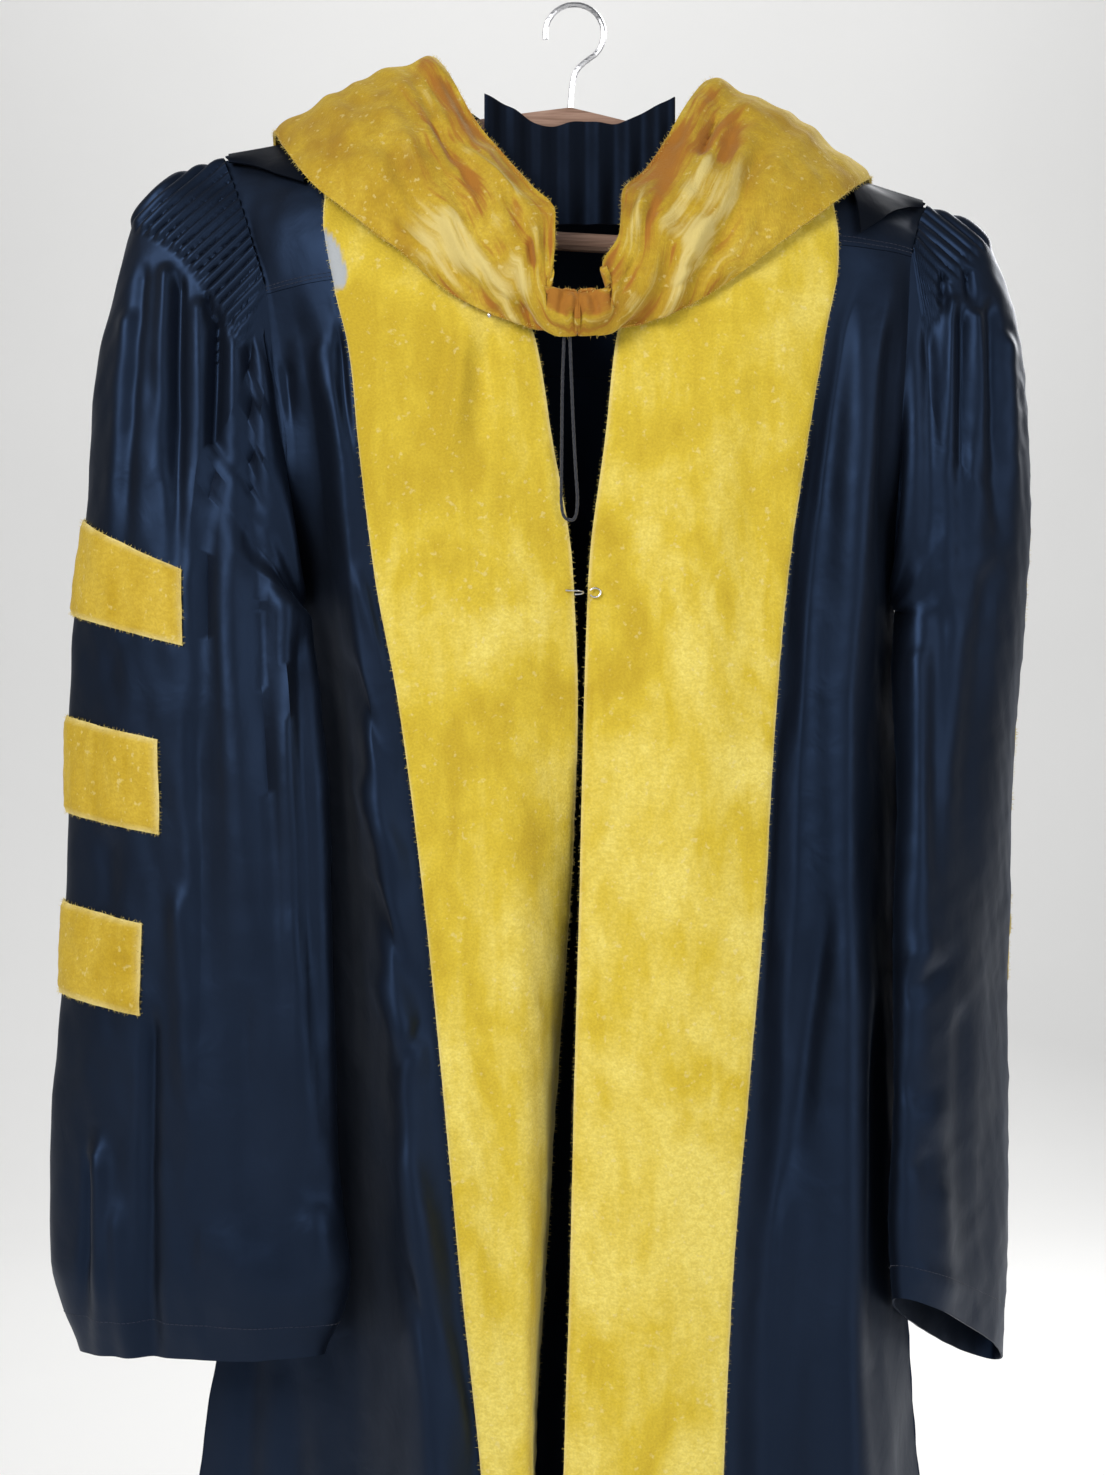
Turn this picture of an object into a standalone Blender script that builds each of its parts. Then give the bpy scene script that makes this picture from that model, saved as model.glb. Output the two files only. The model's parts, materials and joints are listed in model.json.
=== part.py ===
"""A doctoral graduation gown with its hood, hanging on a wooden hanger.

The row's origin is the inside of the hanger hook's crook. +X is the viewer's right, +Y is away
from the viewer and +Z is up. The tables are in millimetres and the meshes in metres.
"""

import math

import bmesh
import bpy
import numpy as np

MM = 0.001

# Driving sizes, in millimetres
SATIN = 1.3
VELVET = 2.4
SEAM_GAP = 0.35
LAY_GAP = 0.6
FLUTES_FRONT = 15
FLUTES_BACK = 12
FLUTE_FROM = 0.22
FLUTE_TO = 0.78
BACK_FOLDS = 9
HANGER_TILT = math.radians(3.2)

# Each front panel, a row for each level from the shoulder to the hem: the level at the centre edge
# and at the side, then the plan position of each named line, from the centre edge to the side
FRONT_COLUMNS = (
    "z_edge", "z_side", "edge_x", "edge_y", "mid_x", "mid_y", "lap_x", "lap_y",
    "inner_x", "inner_y", "outer_x", "outer_y", "side_x", "side_y",
)
FRONT_KNOTS = (("edge", 0.0), ("mid", 0.2), ("lap", 0.4), ("inner", 0.55), ("outer", 0.76), ("side", 1.0))
FRONT_LEFT = (
    (-74, -106, -72, -2, -105, -1, -139, -1, -164, -1, -197, -1, -239, -1),
    (-108, -128, -70, -40, -112, -40, -160, -34, -184, -30, -208, -22, -231, -14),
    (-148, -160, -60, -62, -108, -62, -167, -54, -188, -49, -206, -40, -219, -30),
    (-193, -203, -46, -70, -100, -72, -160, -63, -176, -58, -192, -51, -206, -43),
    (-240, -250, -27, -72, -88, -76, -149, -68, -162, -66, -180, -50, -201, -41),
    (-300, -312, -17, -72, -80, -77, -143, -70, -154, -72, -171, -52, -192, -44),
    (-390, -400, -3, -71, -68, -78, -132, -71, -146, -71, -163, -40, -197, -4),
    (-474, -474, 0, -68, -60, -79, -117, -73, -136, -75, -158, -24, -212, 26),
    (-604, -604, -6, -50, -46, -82, -100, -76, -122, -81, -152, -20, -218, 28),
    (-720, -720, -15, -34, -41, -84, -88, -79, -112, -87, -148, -20, -226, 30),
    (-850, -850, -23, -20, -37, -87, -76, -81, -102, -93, -144, -24, -236, 30),
    (-981, -981, -32, -10, -36, -88, -62, -83, -92, -101, -142, -34, -256, 30),
    (-1150, -1150, -36, -4, -32, -92, -50, -87, -82, -108, -140, -56, -270, 30),
    (-1351, -1351, -38, 0, -28, -98, -42, -92, -74, -118, -140, -66, -288, 34),
)
FRONT_RIGHT = (
    (-82, -138, 72, -2, 105, -1, 138, -1, 163, -1, 196, -1, 238, -1),
    (-114, -152, 70, -38, 114, -38, 164, -34, 188, -30, 210, -22, 231, -14),
    (-142, -162, 64, -58, 114, -60, 170, -52, 190, -46, 209, -37, 227, -28),
    (-171, -177, 54, -68, 110, -69, 172, -61, 190, -55, 208, -46, 223, -36),
    (-231, -240, 27, -72, 93, -76, 162, -68, 177, -60, 198, -62, 219, -41),
    (-300, -310, 19, -72, 85, -78, 150, -70, 166, -57, 191, -66, 216, -35),
    (-390, -400, 8, -71, 73, -78, 137, -72, 156, -55, 184, -66, 216, 2),
    (-474, -474, 5, -70, 68, -79, 130, -73, 150, -55, 178, -66, 219, 8),
    (-604, -604, 2, -70, 61, -79, 122, -74, 146, -56, 177, -68, 222, 10),
    (-720, -720, -1, -70, 56, -80, 112, -75, 138, -58, 176, -70, 223, 12),
    (-850, -850, -4, -70, 51, -81, 101, -76, 130, -60, 176, -76, 225, 14),
    (-981, -981, -8, -70, 44, -82, 95, -78, 126, -62, 178, -84, 232, 16),
    (-1150, -1150, -12, -70, 40, -86, 90, -82, 124, -66, 184, -98, 262, 18),
    (-1351, -1351, -16, -72, 36, -90, 85, -86, 122, -72, 190, -110, 292, 20),
)

FRONT_ACROSS = np.array([*np.linspace(0, 0.4, 7), *np.linspace(0.4, 1, 12)[1:]])
FACING_COLUMNS = 7
FACING_CROWN = 1.2
SEAM_ROW = 3
UNDERARM_ROW = 6
YOKE_STEPS = 5

# The back below its yoke: the level and plan position at each side, its depth and its folds' height
BACK_COLUMNS = ("z_left", "z_right", "left_x", "left_y", "right_x", "right_y", "depth", "fold")
BACK = (
    (-236, -252, -212, 50, 226, 46, 62, 2),
    (-330, -332, -207, 44, 219, 36, 65, 6),
    (-400, -400, -197, -4, 216, 2, 68, 9),
    (-474, -474, -212, 26, 219, 8, 70, 11),
    (-604, -604, -218, 28, 222, 10, 72, 14),
    (-720, -720, -226, 30, 223, 12, 74, 17),
    (-850, -850, -236, 30, 225, 14, 78, 20),
    (-981, -981, -256, 30, 232, 16, 82, 24),
    (-1150, -1150, -270, 30, 262, 18, 92, 29),
    (-1351, -1351, -288, 34, 292, 20, 104, 34),
)
BACK_ROUND = 2.6
BACK_ACROSS = np.linspace(0, 1, 4 * BACK_FOLDS + 1)
BACK_UNDERARM_ROW = 2
NECK_HOLLOW = 44
NECK_DROP = 16

# Each sleeve's rings below the armhole: levels at the body side and the outer side, centre, half
# length, half depth, how far the ring is turned, and the height of its flutes
SLEEVE_COLUMNS = ("z_in", "z_out", "x", "y", "long", "deep", "turn", "flute")
SLEEVE_LEFT = (
    (-411, -118, -242, 2, 32, 47, 2, 2.4),
    (-413, -150, -256, 0, 45, 48, 4, 2.2),
    (-414, -190, -261, -3, 50, 47, 6, 1.4),
    (-415, -260, -261, -15, 65, 42, 12, 0),
    (-419, -350, -257, -25, 78, 37, 16, 0),
    (-457, -415, -256, -32, 86, 34, 17, 0),
    (-520, -483, -254, -36, 92, 32, 19, 0),
    (-580, -548, -253, -36, 94.5, 31, 19, 0),
    (-642, -608, -253, -36, 96.5, 31, 19, 0),
    (-700, -670, -254, -36, 98.5, 32, 18, 0),
    (-775, -760, -256, -35, 102, 33, 17, 0),
    (-852, -848, -253.5, -34, 106, 35, 16, 0),
    (-905, -912, -250.5, -32, 87, 25, 16, 0),
)
SLEEVE_RIGHT = (
    (-407, -150, 246.5, 2, 25, 46, 4, 2.4),
    (-409, -175, 254, 3, 33, 45, 12, 2.2),
    (-411, -210, 259.5, 4, 40, 44, 20, 1.4),
    (-413, -270, 263, 6, 46, 42, 32, 0),
    (-418, -350, 265, 8, 56, 37, 44, 0),
    (-460, -415, 263, 10, 66, 33, 52, 0),
    (-522, -483, 262, 12, 76, 29, 58, 0),
    (-582, -548, 261, 13, 84, 27, 61, 0),
    (-642, -608, 260, 14, 90, 25, 62, 0),
    (-702, -670, 258, 14, 94, 24, 63, 0),
    (-762, -775, 258, 15, 96, 24, 63, 0),
    (-815, -865, 258, 15, 97, 24, 62, 0),
    (-866, -945, 257, 15, 92, 22, 62, 0),
)
FLUTE_AT_SEAM = 2.0
THIN_FROM = 4

# Each sleeve's long folds, valleys below nought: place round the ring, half width, level where each
# is deepest, how far it reaches each way, and its depth
FOLD_COLUMNS = ("round", "width", "level", "reach", "depth")
SLEEVE_FOLDS = (
    (0.165, 0.022, -430, 330, -7),
    (0.215, 0.02, -350, 190, -8),
    (0.262, 0.018, -330, 160, 6),
    (0.31, 0.02, -340, 200, -9),
    (0.36, 0.022, -420, 220, 5),
    (0.4, 0.022, -800, 190, -8),
    (0.66, 0.025, -480, 300, -7),
    (0.74, 0.03, -620, 360, -5),
    (0.82, 0.028, -560, 330, -7),
)

# Bars: the sleeve rings that bound each, and where each ends on the ring
BARS_LEFT = ((4, 5, 0.235, 0.62), (6, 7, 0.27, 0.62), (8, 9, 0.29, 0.62))
BARS_RIGHT = ((4, 5, 0.43, 0.74), (6, 7, 0.43, 0.74), (8, 9, 0.43, 0.74))

# Hood band, from the front V over the shoulder to the back V: its neck edge, its outer edge, and
# how far it swells between them
BAND_COLUMNS = ("neck_x", "neck_y", "neck_z", "hem_x", "hem_y", "hem_z", "swell")
BAND_LEFT = (
    (-0.4, -99, -211, -0.4, -86.6, -236.6, 6),
    (-16, -101, -208, -10, -86.6, -236, 7),
    (-15, -101, -192, -24, -86, -233, 8),
    (-14, -94, -160, -52, -84, -224, 10),
    (-30, -78, -138, -84, -83, -208, 12),
    (-50, -60, -112, -117, -82, -180, 13),
    (-68, -40, -86, -148, -77, -156, 12),
    (-82, -20, -58, -172, -64, -136, 10),
    (-91, -8, -42, -191, -36, -110, 8),
    (-96, 2, -36, -206, 0, -86, 6),
    (-97, 20, -44, -208, 26, -96, 6),
    (-95, 40, -66, -205, 56, -124, 6),
    (-90, 72, -110, -198, 78, -172, 5),
    (-81, 92, -180, -186, 90, -245, 3),
    (-69, 99, -275, -164, 100, -350, 2),
    (-48, 105, -372, -128, 108, -455, 2),
    (-24, 110, -450, -78, 114, -542, 2),
    (-0.4, 112, -500, -0.4, 118, -612, 2),
)
BAND_RIGHT = (
    (0.4, -99, -211, 0.4, -86.6, -236.6, 6),
    (18, -101, -209, 12, -86.6, -236, 7),
    (16, -101, -194, 28, -86, -232, 8),
    (27, -92, -172, 54, -84, -225, 10),
    (30, -78, -142, 90, -83, -207, 12),
    (45, -60, -124, 114, -82, -190, 13),
    (63, -40, -94, 142, -77, -168, 12),
    (77, -20, -68, 166, -66, -149, 10),
    (87, -8, -54, 187, -38, -130, 8),
    (93, 2, -50, 201, 0, -118.4, 6),
    (94, 20, -58, 203, 26, -126.4, 6),
    (92, 40, -80, 200, 56, -150, 6),
    (88, 72, -122, 194, 78, -192, 5),
    (80, 92, -190, 183, 90, -258, 3),
    (68, 99, -280, 162, 100, -355, 2),
    (48, 105, -375, 127, 108, -457, 2),
    (24, 110, -450, 78, 114, -543, 2),
    (0.4, 112, -500, 0.4, 118, -612, 2),
)

BAND_STEPS = 26

# Hood shell on the back: level and plan position at each side, then its depth
SHELL_COLUMNS = ("z_left", "z_right", "left_x", "left_y", "right_x", "right_y", "depth")
SHELL = (
    (-250, -264, -222, 74, 224, 72, 88),
    (-400, -405, -212, 66, 214, 64, 97),
    (-550, -550, -190, 86, 190, 84, 108),
    (-700, -700, -164, 104, 164, 104, 120),
    (-820, -820, -142, 118, 142, 118, 130),
    (-900, -900, -112, 128, 112, 128, 138),
    (-938, -938, -62, 134, 62, 134, 142),
)
SHELL_RISE = 3.3
SHOULDER_FROM = 0.5
SHOULDER_TO = 0.985
SHOULDER_DROP = 34
SHOULDER_TAPER = 0.85
SHOULDER_LIFT = 4.0

# Neck cloth in front of the hanger's middle: place across, level of its top edge
NECK_COLUMNS = ("x", "top", "y")
NECK = (
    (-62, -64, -20), (-44, -72, -14), (-20, -84, -9.8), (4, -80, -9), (26, -82, -9.8),
    (48, -74, -14), (66, -66, -20),
)
NECK_BOTTOM = -150
NECK_PLEATS = 7
NECK_PLEAT_DEPTH = 1.6

# Hanger, before it tilts: the arm's centre line, then round pieces
ARM_LINE = ((0, -83), (72, -97), (139, -114), (178, -127), (206, -144), (219, -164))
ARM_HEIGHT = 26
ARM_DEPTH = 13
BAR_LEVEL = -160
BAR_RADIUS = 6.5
BAR_END = 199.3
HOOK_WIRE = 1.9
HOOK_RING = 20
HOOK_SHANK_TOP = -46

# Free cord loop below the hood's V, as the points it follows
CORD_RADIUS = 1.1
CORD_LINE = (
    (-8.6, -86, -237.4), (-8.8, -83, -246), (-9.4, -81.6, -262), (-9.8, -81.6, -282),
    (-10, -81.6, -304), (-10.2, -81.6, -326), (-10.4, -81.6, -342), (-9.6, -81.6, -351),
    (-6.8, -81.7, -356), (-3.2, -81.8, -356.6), (-0.4, -81.9, -352), (0.2, -82, -343),
    (-0.8, -82, -326), (-2, -82, -304), (-3, -82, -282), (-3.8, -82, -262), (-4.4, -83, -246),
    (-4.8, -86, -237.4),
)

# Small metal pieces
CLOSURE_WIRE = 0.6
PIN_RADIUS = 1.6
PIN_PLACE = (-57, -88, -224.5)

COLOURS = {
    "navy_satin": ((0.012, 0.02, 0.05, 1), 0.42, 0.0),
    "gold_velvet": ((0.6, 0.38, 0.04, 1), 0.9, 0.0),
    "black_satin": ((0.01, 0.011, 0.014, 1), 0.6, 0.0),
    "dark_cord": ((0.02, 0.022, 0.028, 1), 0.8, 0.0),
    "pale_wood": ((0.33, 0.2, 0.13, 1), 0.5, 0.0),
    "bright_steel": ((0.6, 0.6, 0.62, 1), 0.3, 1.0),
}


def clear_scene():
    for thing in list(bpy.data.objects):
        bpy.data.objects.remove(thing, do_unlink=True)


def new_collection(name):
    collection = bpy.data.collections.new(name)
    bpy.context.scene.collection.children.link(collection)
    return collection


def material(name):
    """The Principled material of one finish."""
    found = bpy.data.materials.get(name)
    if found:
        return found
    colour, roughness, metallic = COLOURS[name]
    made = bpy.data.materials.new(name)
    made.use_nodes = True
    shader = made.node_tree.nodes["Principled BSDF"]
    shader.inputs["Base Color"].default_value = colour
    shader.inputs["Roughness"].default_value = roughness
    shader.inputs["Metallic"].default_value = metallic
    return made


def through(keys, values, at):
    """Values of a smooth curve through table points, which never swings past them."""
    keys = np.asarray(keys, float)
    values = np.asarray(values, float)
    step = np.diff(keys)
    slope = np.diff(values) / step
    tangent = np.zeros(len(keys))
    tangent[0] = slope[0]
    tangent[-1] = slope[-1]
    for i in range(1, len(keys) - 1):
        if slope[i - 1] * slope[i] > 0:
            before = 2 * step[i] + step[i - 1]
            after = step[i] + 2 * step[i - 1]
            tangent[i] = (before + after) / (before / slope[i - 1] + after / slope[i])
    at = np.clip(np.asarray(at, float), keys[0], keys[-1])
    i = np.clip(np.searchsorted(keys, at) - 1, 0, len(keys) - 2)
    t = (at - keys[i]) / step[i]
    start = (1 + 2 * t) * (1 - t) ** 2 * values[i] + t * (1 - t) ** 2 * step[i] * tangent[i]
    end = t * t * (3 - 2 * t) * values[i + 1] + t * t * (t - 1) * step[i] * tangent[i + 1]
    return start + end


def column(rows, names, name):
    return np.array([row[names.index(name)] for row in rows], float)


def read(rows, names, key, level):
    """Every column of a table at the given levels, by name."""
    keys = -column(rows, names, key)
    level = -np.asarray(level, float)
    return {name: through(keys, column(rows, names, name), level) for name in names}


def front_points(rows, across, levels):
    """A front panel's grid: one row for each level, one point for each place across."""
    found = read(rows, FRONT_COLUMNS, "z_side", levels)
    knots = [place for _, place in FRONT_KNOTS]
    grid = np.zeros((len(levels), len(across), 3))
    for i in range(len(levels)):
        grid[i, :, 0] = through(knots, [found[name + "_x"][i] for name, _ in FRONT_KNOTS], across)
        grid[i, :, 1] = through(knots, [found[name + "_y"][i] for name, _ in FRONT_KNOTS], across)
        grid[i, :, 2] = found["z_edge"][i] + (found["z_side"][i] - found["z_edge"][i]) * across
    return grid


def back_rounding(across):
    """Place across from -1 to 1, close together at the sides, and the share of the depth there."""
    place = np.sin(np.pi * (across - 0.5))
    share = (1 - np.abs(place) ** BACK_ROUND) ** (1 / BACK_ROUND)
    return place, share


def back_points(across, levels):
    """The back's grid, with its long folds raised outwards from an even surface."""
    found = read(BACK, BACK_COLUMNS, "z_left", levels)
    place, share = back_rounding(across)
    half = (place + 1) / 2
    wave = 0.5 - 0.5 * np.cos(2 * np.pi * BACK_FOLDS * (across + 0.012 * np.sin(9 * across)))
    grid = np.zeros((len(levels), len(across), 3))
    for i in range(len(levels)):
        side = found["left_y"][i] + (found["right_y"][i] - found["left_y"][i]) * half
        reach = found["depth"][i] + found["fold"][i] * wave
        grid[i, :, 0] = found["left_x"][i] + (found["right_x"][i] - found["left_x"][i]) * half
        grid[i, :, 1] = side + (reach - side) * share
        grid[i, :, 2] = found["z_left"][i] + (found["z_right"][i] - found["z_left"][i]) * half
    return grid


def shoulder_line(across, rise):
    """Where the back meets the shoulders and the neck, from the left side to the right."""
    place, _ = back_rounding(across)
    left, right = FRONT_LEFT[0], FRONT_RIGHT[0]
    side_left, neck_left = left[FRONT_COLUMNS.index("side_x")], left[FRONT_COLUMNS.index("edge_x")]
    side_right, neck_right = right[FRONT_COLUMNS.index("side_x")], right[FRONT_COLUMNS.index("edge_x")]
    x = side_left + (side_right - side_left) * (place + 1) / 2
    z = np.interp(x, (side_left, neck_left, neck_right, side_right), (left[1], left[0], right[0], right[1]))
    inside = np.clip(1 - (x / neck_right) ** 2, 0, 1)
    y = NECK_HOLLOW * np.sqrt(inside)
    z = z - NECK_DROP * inside + rise
    return np.stack([x, y, z], axis=-1)


def arched(top, bottom, steps):
    """Rows from a top line over a quarter round to a bottom line."""
    turn = steps[:, None] * np.pi / 2
    x = top[None, :, 0] + (bottom[None, :, 0] - top[None, :, 0]) * np.sin(turn)
    y = top[None, :, 1] + (bottom[None, :, 1] - top[None, :, 1]) * np.sin(turn)
    z = top[None, :, 2] + (bottom[None, :, 2] - top[None, :, 2]) * (1 - np.cos(turn))
    return np.stack([x, y, z], axis=-1)


def outwards(grid, ring, sign):
    """Unit normals of a grid, on its outer side."""
    if ring:
        across = np.roll(grid, -1, axis=1) - np.roll(grid, 1, axis=1)
    else:
        across = np.gradient(grid, axis=1)
    down = np.gradient(grid, axis=0)
    normal = np.cross(across, down) * sign
    length = np.linalg.norm(normal, axis=2, keepdims=True)
    return normal / np.maximum(length, 1e-9)


def wall(name, finish, collection, inner, outer, ring=False, thin_from=None):
    """A closed cloth wall between an inner and an outer grid, as one object.

    From the row thin_from down, a ring keeps every second column only.
    """
    rows, columns = inner.shape[:2]
    kept = [
        list(range(0, columns, 2)) if thin_from is not None and i >= thin_from else list(range(columns))
        for i in range(rows)
    ]
    points = []
    number = {}
    for layer, grid in enumerate((inner, outer)):
        for i in range(rows):
            for j in kept[i]:
                number[layer, i, j] = len(points)
                points.append(tuple(grid[i, j] * MM))
    faces = []
    for layer in (0, 1):
        for i in range(rows - 1):
            here, below = kept[i], kept[i + 1]
            pairs = len(below) if ring else len(below) - 1
            for k in range(pairs):
                left, right = below[k], below[(k + 1) % len(below)]
                if len(here) > len(below):
                    corners = (((i, left), (i, left + 1), (i + 1, left)),
                               ((i, left + 1), (i, right), (i + 1, right)),
                               ((i, left + 1), (i + 1, right), (i + 1, left)))
                else:
                    corners = (((i, left), (i, right), (i + 1, right)),
                               ((i, left), (i + 1, right), (i + 1, left)))
                for face in corners:
                    faces.append([number[(layer,) + corner] for corner in face])
    for i in (0, rows - 1):
        row = kept[i] + kept[i][:1] if ring else kept[i]
        for a, b in zip(row, row[1:]):
            faces.append([number[0, i, a], number[0, i, b], number[1, i, b]])
            faces.append([number[0, i, a], number[1, i, b], number[1, i, a]])
    if not ring:
        for j in (0, columns - 1):
            for i in range(rows - 1):
                faces.append([number[0, i, j], number[0, i + 1, j], number[1, i + 1, j]])
                faces.append([number[0, i, j], number[1, i + 1, j], number[1, i, j]])
    mesh = bpy.data.meshes.new(name)
    mesh.from_pydata(points, [], faces)
    shell = bmesh.new()
    shell.from_mesh(mesh)
    bmesh.ops.recalc_face_normals(shell, faces=shell.faces)
    shell.to_mesh(mesh)
    shell.free()
    mesh.shade_smooth()
    mesh.set_sharp_from_angle(angle=math.radians(50))
    mesh.materials.append(material(finish))
    made = bpy.data.objects.new(name, mesh)
    collection.objects.link(made)
    return made


def front_levels(rows):
    """The side levels of the yoke's rows, and those of the panel below it."""
    side = column(rows, FRONT_COLUMNS, "z_side")
    yoke = through(np.arange(SEAM_ROW + 1), side[:SEAM_ROW + 1], np.linspace(0, SEAM_ROW, YOKE_STEPS))
    return yoke, np.array([side[SEAM_ROW] - SEAM_GAP, *side[SEAM_ROW + 1:]])


def make_fronts(collection):
    for side, rows, sign in (("left", FRONT_LEFT, 1), ("right", FRONT_RIGHT, -1)):
        yoke_levels, panel_levels = front_levels(rows)
        levels = np.concatenate([yoke_levels, panel_levels])
        grid = front_points(rows, FRONT_ACROSS, levels)
        normal = outwards(grid, False, sign)
        outer = grid + normal * SATIN
        yoke = slice(0, len(yoke_levels))
        panel = slice(len(yoke_levels), None)
        wall("yoke_" + side, "navy_satin", collection, grid[yoke], outer[yoke])
        wall("front_" + side, "navy_satin", collection, grid[panel], outer[panel])
        velvet = slice(0, FACING_COLUMNS)
        laid = grid[:, velvet] + normal[:, velvet] * (SATIN + LAY_GAP)
        crown = FACING_CROWN * np.sin(np.linspace(0, np.pi, FACING_COLUMNS))[None, :, None]
        wall("facing_" + side, "gold_velvet", collection, laid,
             laid + normal[:, velvet] * (VELVET + crown))


def make_back(collection):
    levels = column(BACK, BACK_COLUMNS, "z_left")
    grid = back_points(BACK_ACROSS, levels)
    grid[:, :, 1] += SEAM_GAP
    normal = outwards(grid, False, 1)
    top = shoulder_line(BACK_ACROSS[::2], 0)
    top[:, 1] += SEAM_GAP
    bottom = grid[0, ::2] + np.array([0, 0, SEAM_GAP])
    yoke = arched(top, bottom, np.linspace(0, 1, 6))
    wall("yoke_back", "navy_satin", collection, yoke, yoke + outwards(yoke, False, 1) * SATIN)
    wall("back", "navy_satin", collection, grid, grid + normal * SATIN)


def armhole(side, places):
    """The armhole's loop, from the underarm up the front, over the shoulder and down the back."""
    rows = FRONT_LEFT if side == "left" else FRONT_RIGHT
    front = np.stack([column(rows, FRONT_COLUMNS, name) for name in ("side_x", "side_y", "z_side")], axis=-1)
    front = front[:UNDERARM_ROW + 1]
    back = np.stack([column(BACK, BACK_COLUMNS, name) for name in (side + "_x", side + "_y", "z_" + side)],
                    axis=-1)
    back = back[:BACK_UNDERARM_ROW + 1]
    shoulder = arched(front[:1], back[:1], np.linspace(0, 1, 5))[:, 0]
    loop = np.concatenate([front[::-1], shoulder[1:], back[1:]])
    shoulder_at = UNDERARM_ROW
    back_at = shoulder_at + len(shoulder) - 1
    marks = (0, UNDERARM_ROW - SEAM_ROW, shoulder_at, back_at, len(loop) - 1)
    stations = (0, FLUTE_FROM, 0.5, FLUTE_TO, 1)
    keys = np.zeros(len(loop))
    for start, stop, low, high in zip(marks, marks[1:], stations, stations[1:]):
        run = np.linalg.norm(np.diff(loop[start:stop + 1], axis=0), axis=1)
        keys[start:stop + 1] = low + (high - low) * np.concatenate([[0], np.cumsum(run)]) / run.sum()
    found = np.mod(places, 1)
    return np.stack([through(keys, loop[:, axis], found) for axis in range(3)], axis=-1)


def sleeve_places():
    """Places round a sleeve: two for each flute, and wider ones below the arm."""
    front = np.linspace(FLUTE_FROM, 0.5, 2 * FLUTES_FRONT + 1)[:-1]
    back = np.linspace(0.5, FLUTE_TO, 2 * FLUTES_BACK + 1)[:-1]
    under = np.linspace(FLUTE_TO, 1 + FLUTE_FROM, 11)[:-1]
    return np.concatenate([front, back, under])


def fold_height(places, levels):
    """How far the long folds move the sleeve's wall out, at places round it and levels down it."""
    height = np.zeros(np.broadcast(places, levels).shape)
    for spot, width, middle, reach, depth in SLEEVE_FOLDS:
        off = (np.mod(places - spot + 0.5, 1) - 0.5) / width
        along = np.clip(1 - ((levels - middle) / reach) ** 2, 0, 1)
        height = height + depth * np.exp(-off * off) * along
    return height


def sleeve_points(side, places):
    """A sleeve's grid of rings, from the armhole down, and its flutes' height at each point."""
    rows = SLEEVE_LEFT if side == "left" else SLEEVE_RIGHT
    mirror = 1 if side == "left" else -1
    angle = 2 * np.pi * places
    behind = np.clip((np.mod(places, 1) - 0.42) / 0.12, 0, 1)
    below = np.clip(1 - np.abs(np.mod(places + 0.5, 1) - 0.5) / 0.12, 0, 1)
    start = armhole(side, places)
    start[:, 0] -= mirror * (6 * SEAM_GAP + SATIN * np.maximum(behind, below))
    start[:, 2] -= 3 * SATIN * below
    grid = [start]
    flutes = [FLUTE_AT_SEAM]
    for z_in, z_out, x, y, length, depth, turn, flute in rows:
        turn = math.radians(turn)
        along = length * np.cos(angle)
        beside = depth * np.sin(angle)
        ring_x = x + mirror * (along * math.cos(turn) - beside * math.sin(turn))
        ring_y = y - along * math.sin(turn) - beside * math.cos(turn)
        ring_z = z_in + (z_out - z_in) * (1 - np.cos(angle)) / 2
        grid.append(np.stack([ring_x, ring_y, ring_z], axis=-1))
        flutes.append(flute)
    grid = np.array(grid)
    normal = outwards(grid, True, mirror)
    grid = grid + normal * fold_height(places[None, :], grid[:, :, 2])[:, :, None]
    front = (places > FLUTE_FROM) & (places <= 0.5)
    back = (places > 0.5) & (places < FLUTE_TO)
    phase = np.where(front, (places - FLUTE_FROM) / (0.5 - FLUTE_FROM) * FLUTES_FRONT, 0)
    phase = np.where(back, (places - 0.5) / (FLUTE_TO - 0.5) * FLUTES_BACK, phase)
    ridge = 0.5 - 0.5 * np.cos(2 * np.pi * phase)
    return grid, np.array(flutes)[:, None] * ridge[None, :]


def make_sleeves(collection):
    places = sleeve_places()
    for side, mirror, bars in (("left", 1, BARS_LEFT), ("right", -1, BARS_RIGHT)):
        grid, flutes = sleeve_points(side, places)
        normal = outwards(grid, True, mirror)
        outer = grid + normal * (SATIN + flutes)[:, :, None]
        wall("sleeve_" + side, "navy_satin", collection, grid, outer, ring=True, thin_from=THIN_FROM)
        for number, (top, bottom, start, end) in enumerate(bars, 1):
            covered = [j for j in range(0, len(places), 2) if start <= places[j] <= end]
            rings = [top + 1, bottom + 1]
            laid = (grid + normal * (SATIN + LAY_GAP))[rings][:, covered]
            lifted = laid + normal[rings][:, covered] * VELVET
            wall("bar_%s_%d" % (side, number), "gold_velvet", collection, laid, lifted)


def make_hood(collection):
    across = np.linspace(0, 1, 7)
    for side, rows, sign in (("left", BAND_LEFT, -1), ("right", BAND_RIGHT, 1)):
        keys = np.arange(len(rows))
        steps = np.linspace(0, keys[-1], BAND_STEPS)
        found = {name: through(keys, column(rows, BAND_COLUMNS, name), steps) for name in BAND_COLUMNS}
        neck = np.stack([found["neck_x"], found["neck_y"], found["neck_z"]], axis=-1)
        hem = np.stack([found["hem_x"], found["hem_y"], found["hem_z"]], axis=-1)
        grid = neck[:, None] + (hem - neck)[:, None] * across[None, :, None]
        normal = outwards(grid, False, sign)
        normal[[0, -1], :, 0] = 0
        swell = found["swell"][:, None] * np.sin(np.pi * across)[None, :]
        grid = grid + normal * swell[:, :, None]
        normal = outwards(grid, False, sign)
        normal[[0, -1], :, 0] = 0
        wall("hood_band_" + side, "gold_velvet", collection, grid, grid + normal * VELVET)


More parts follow.
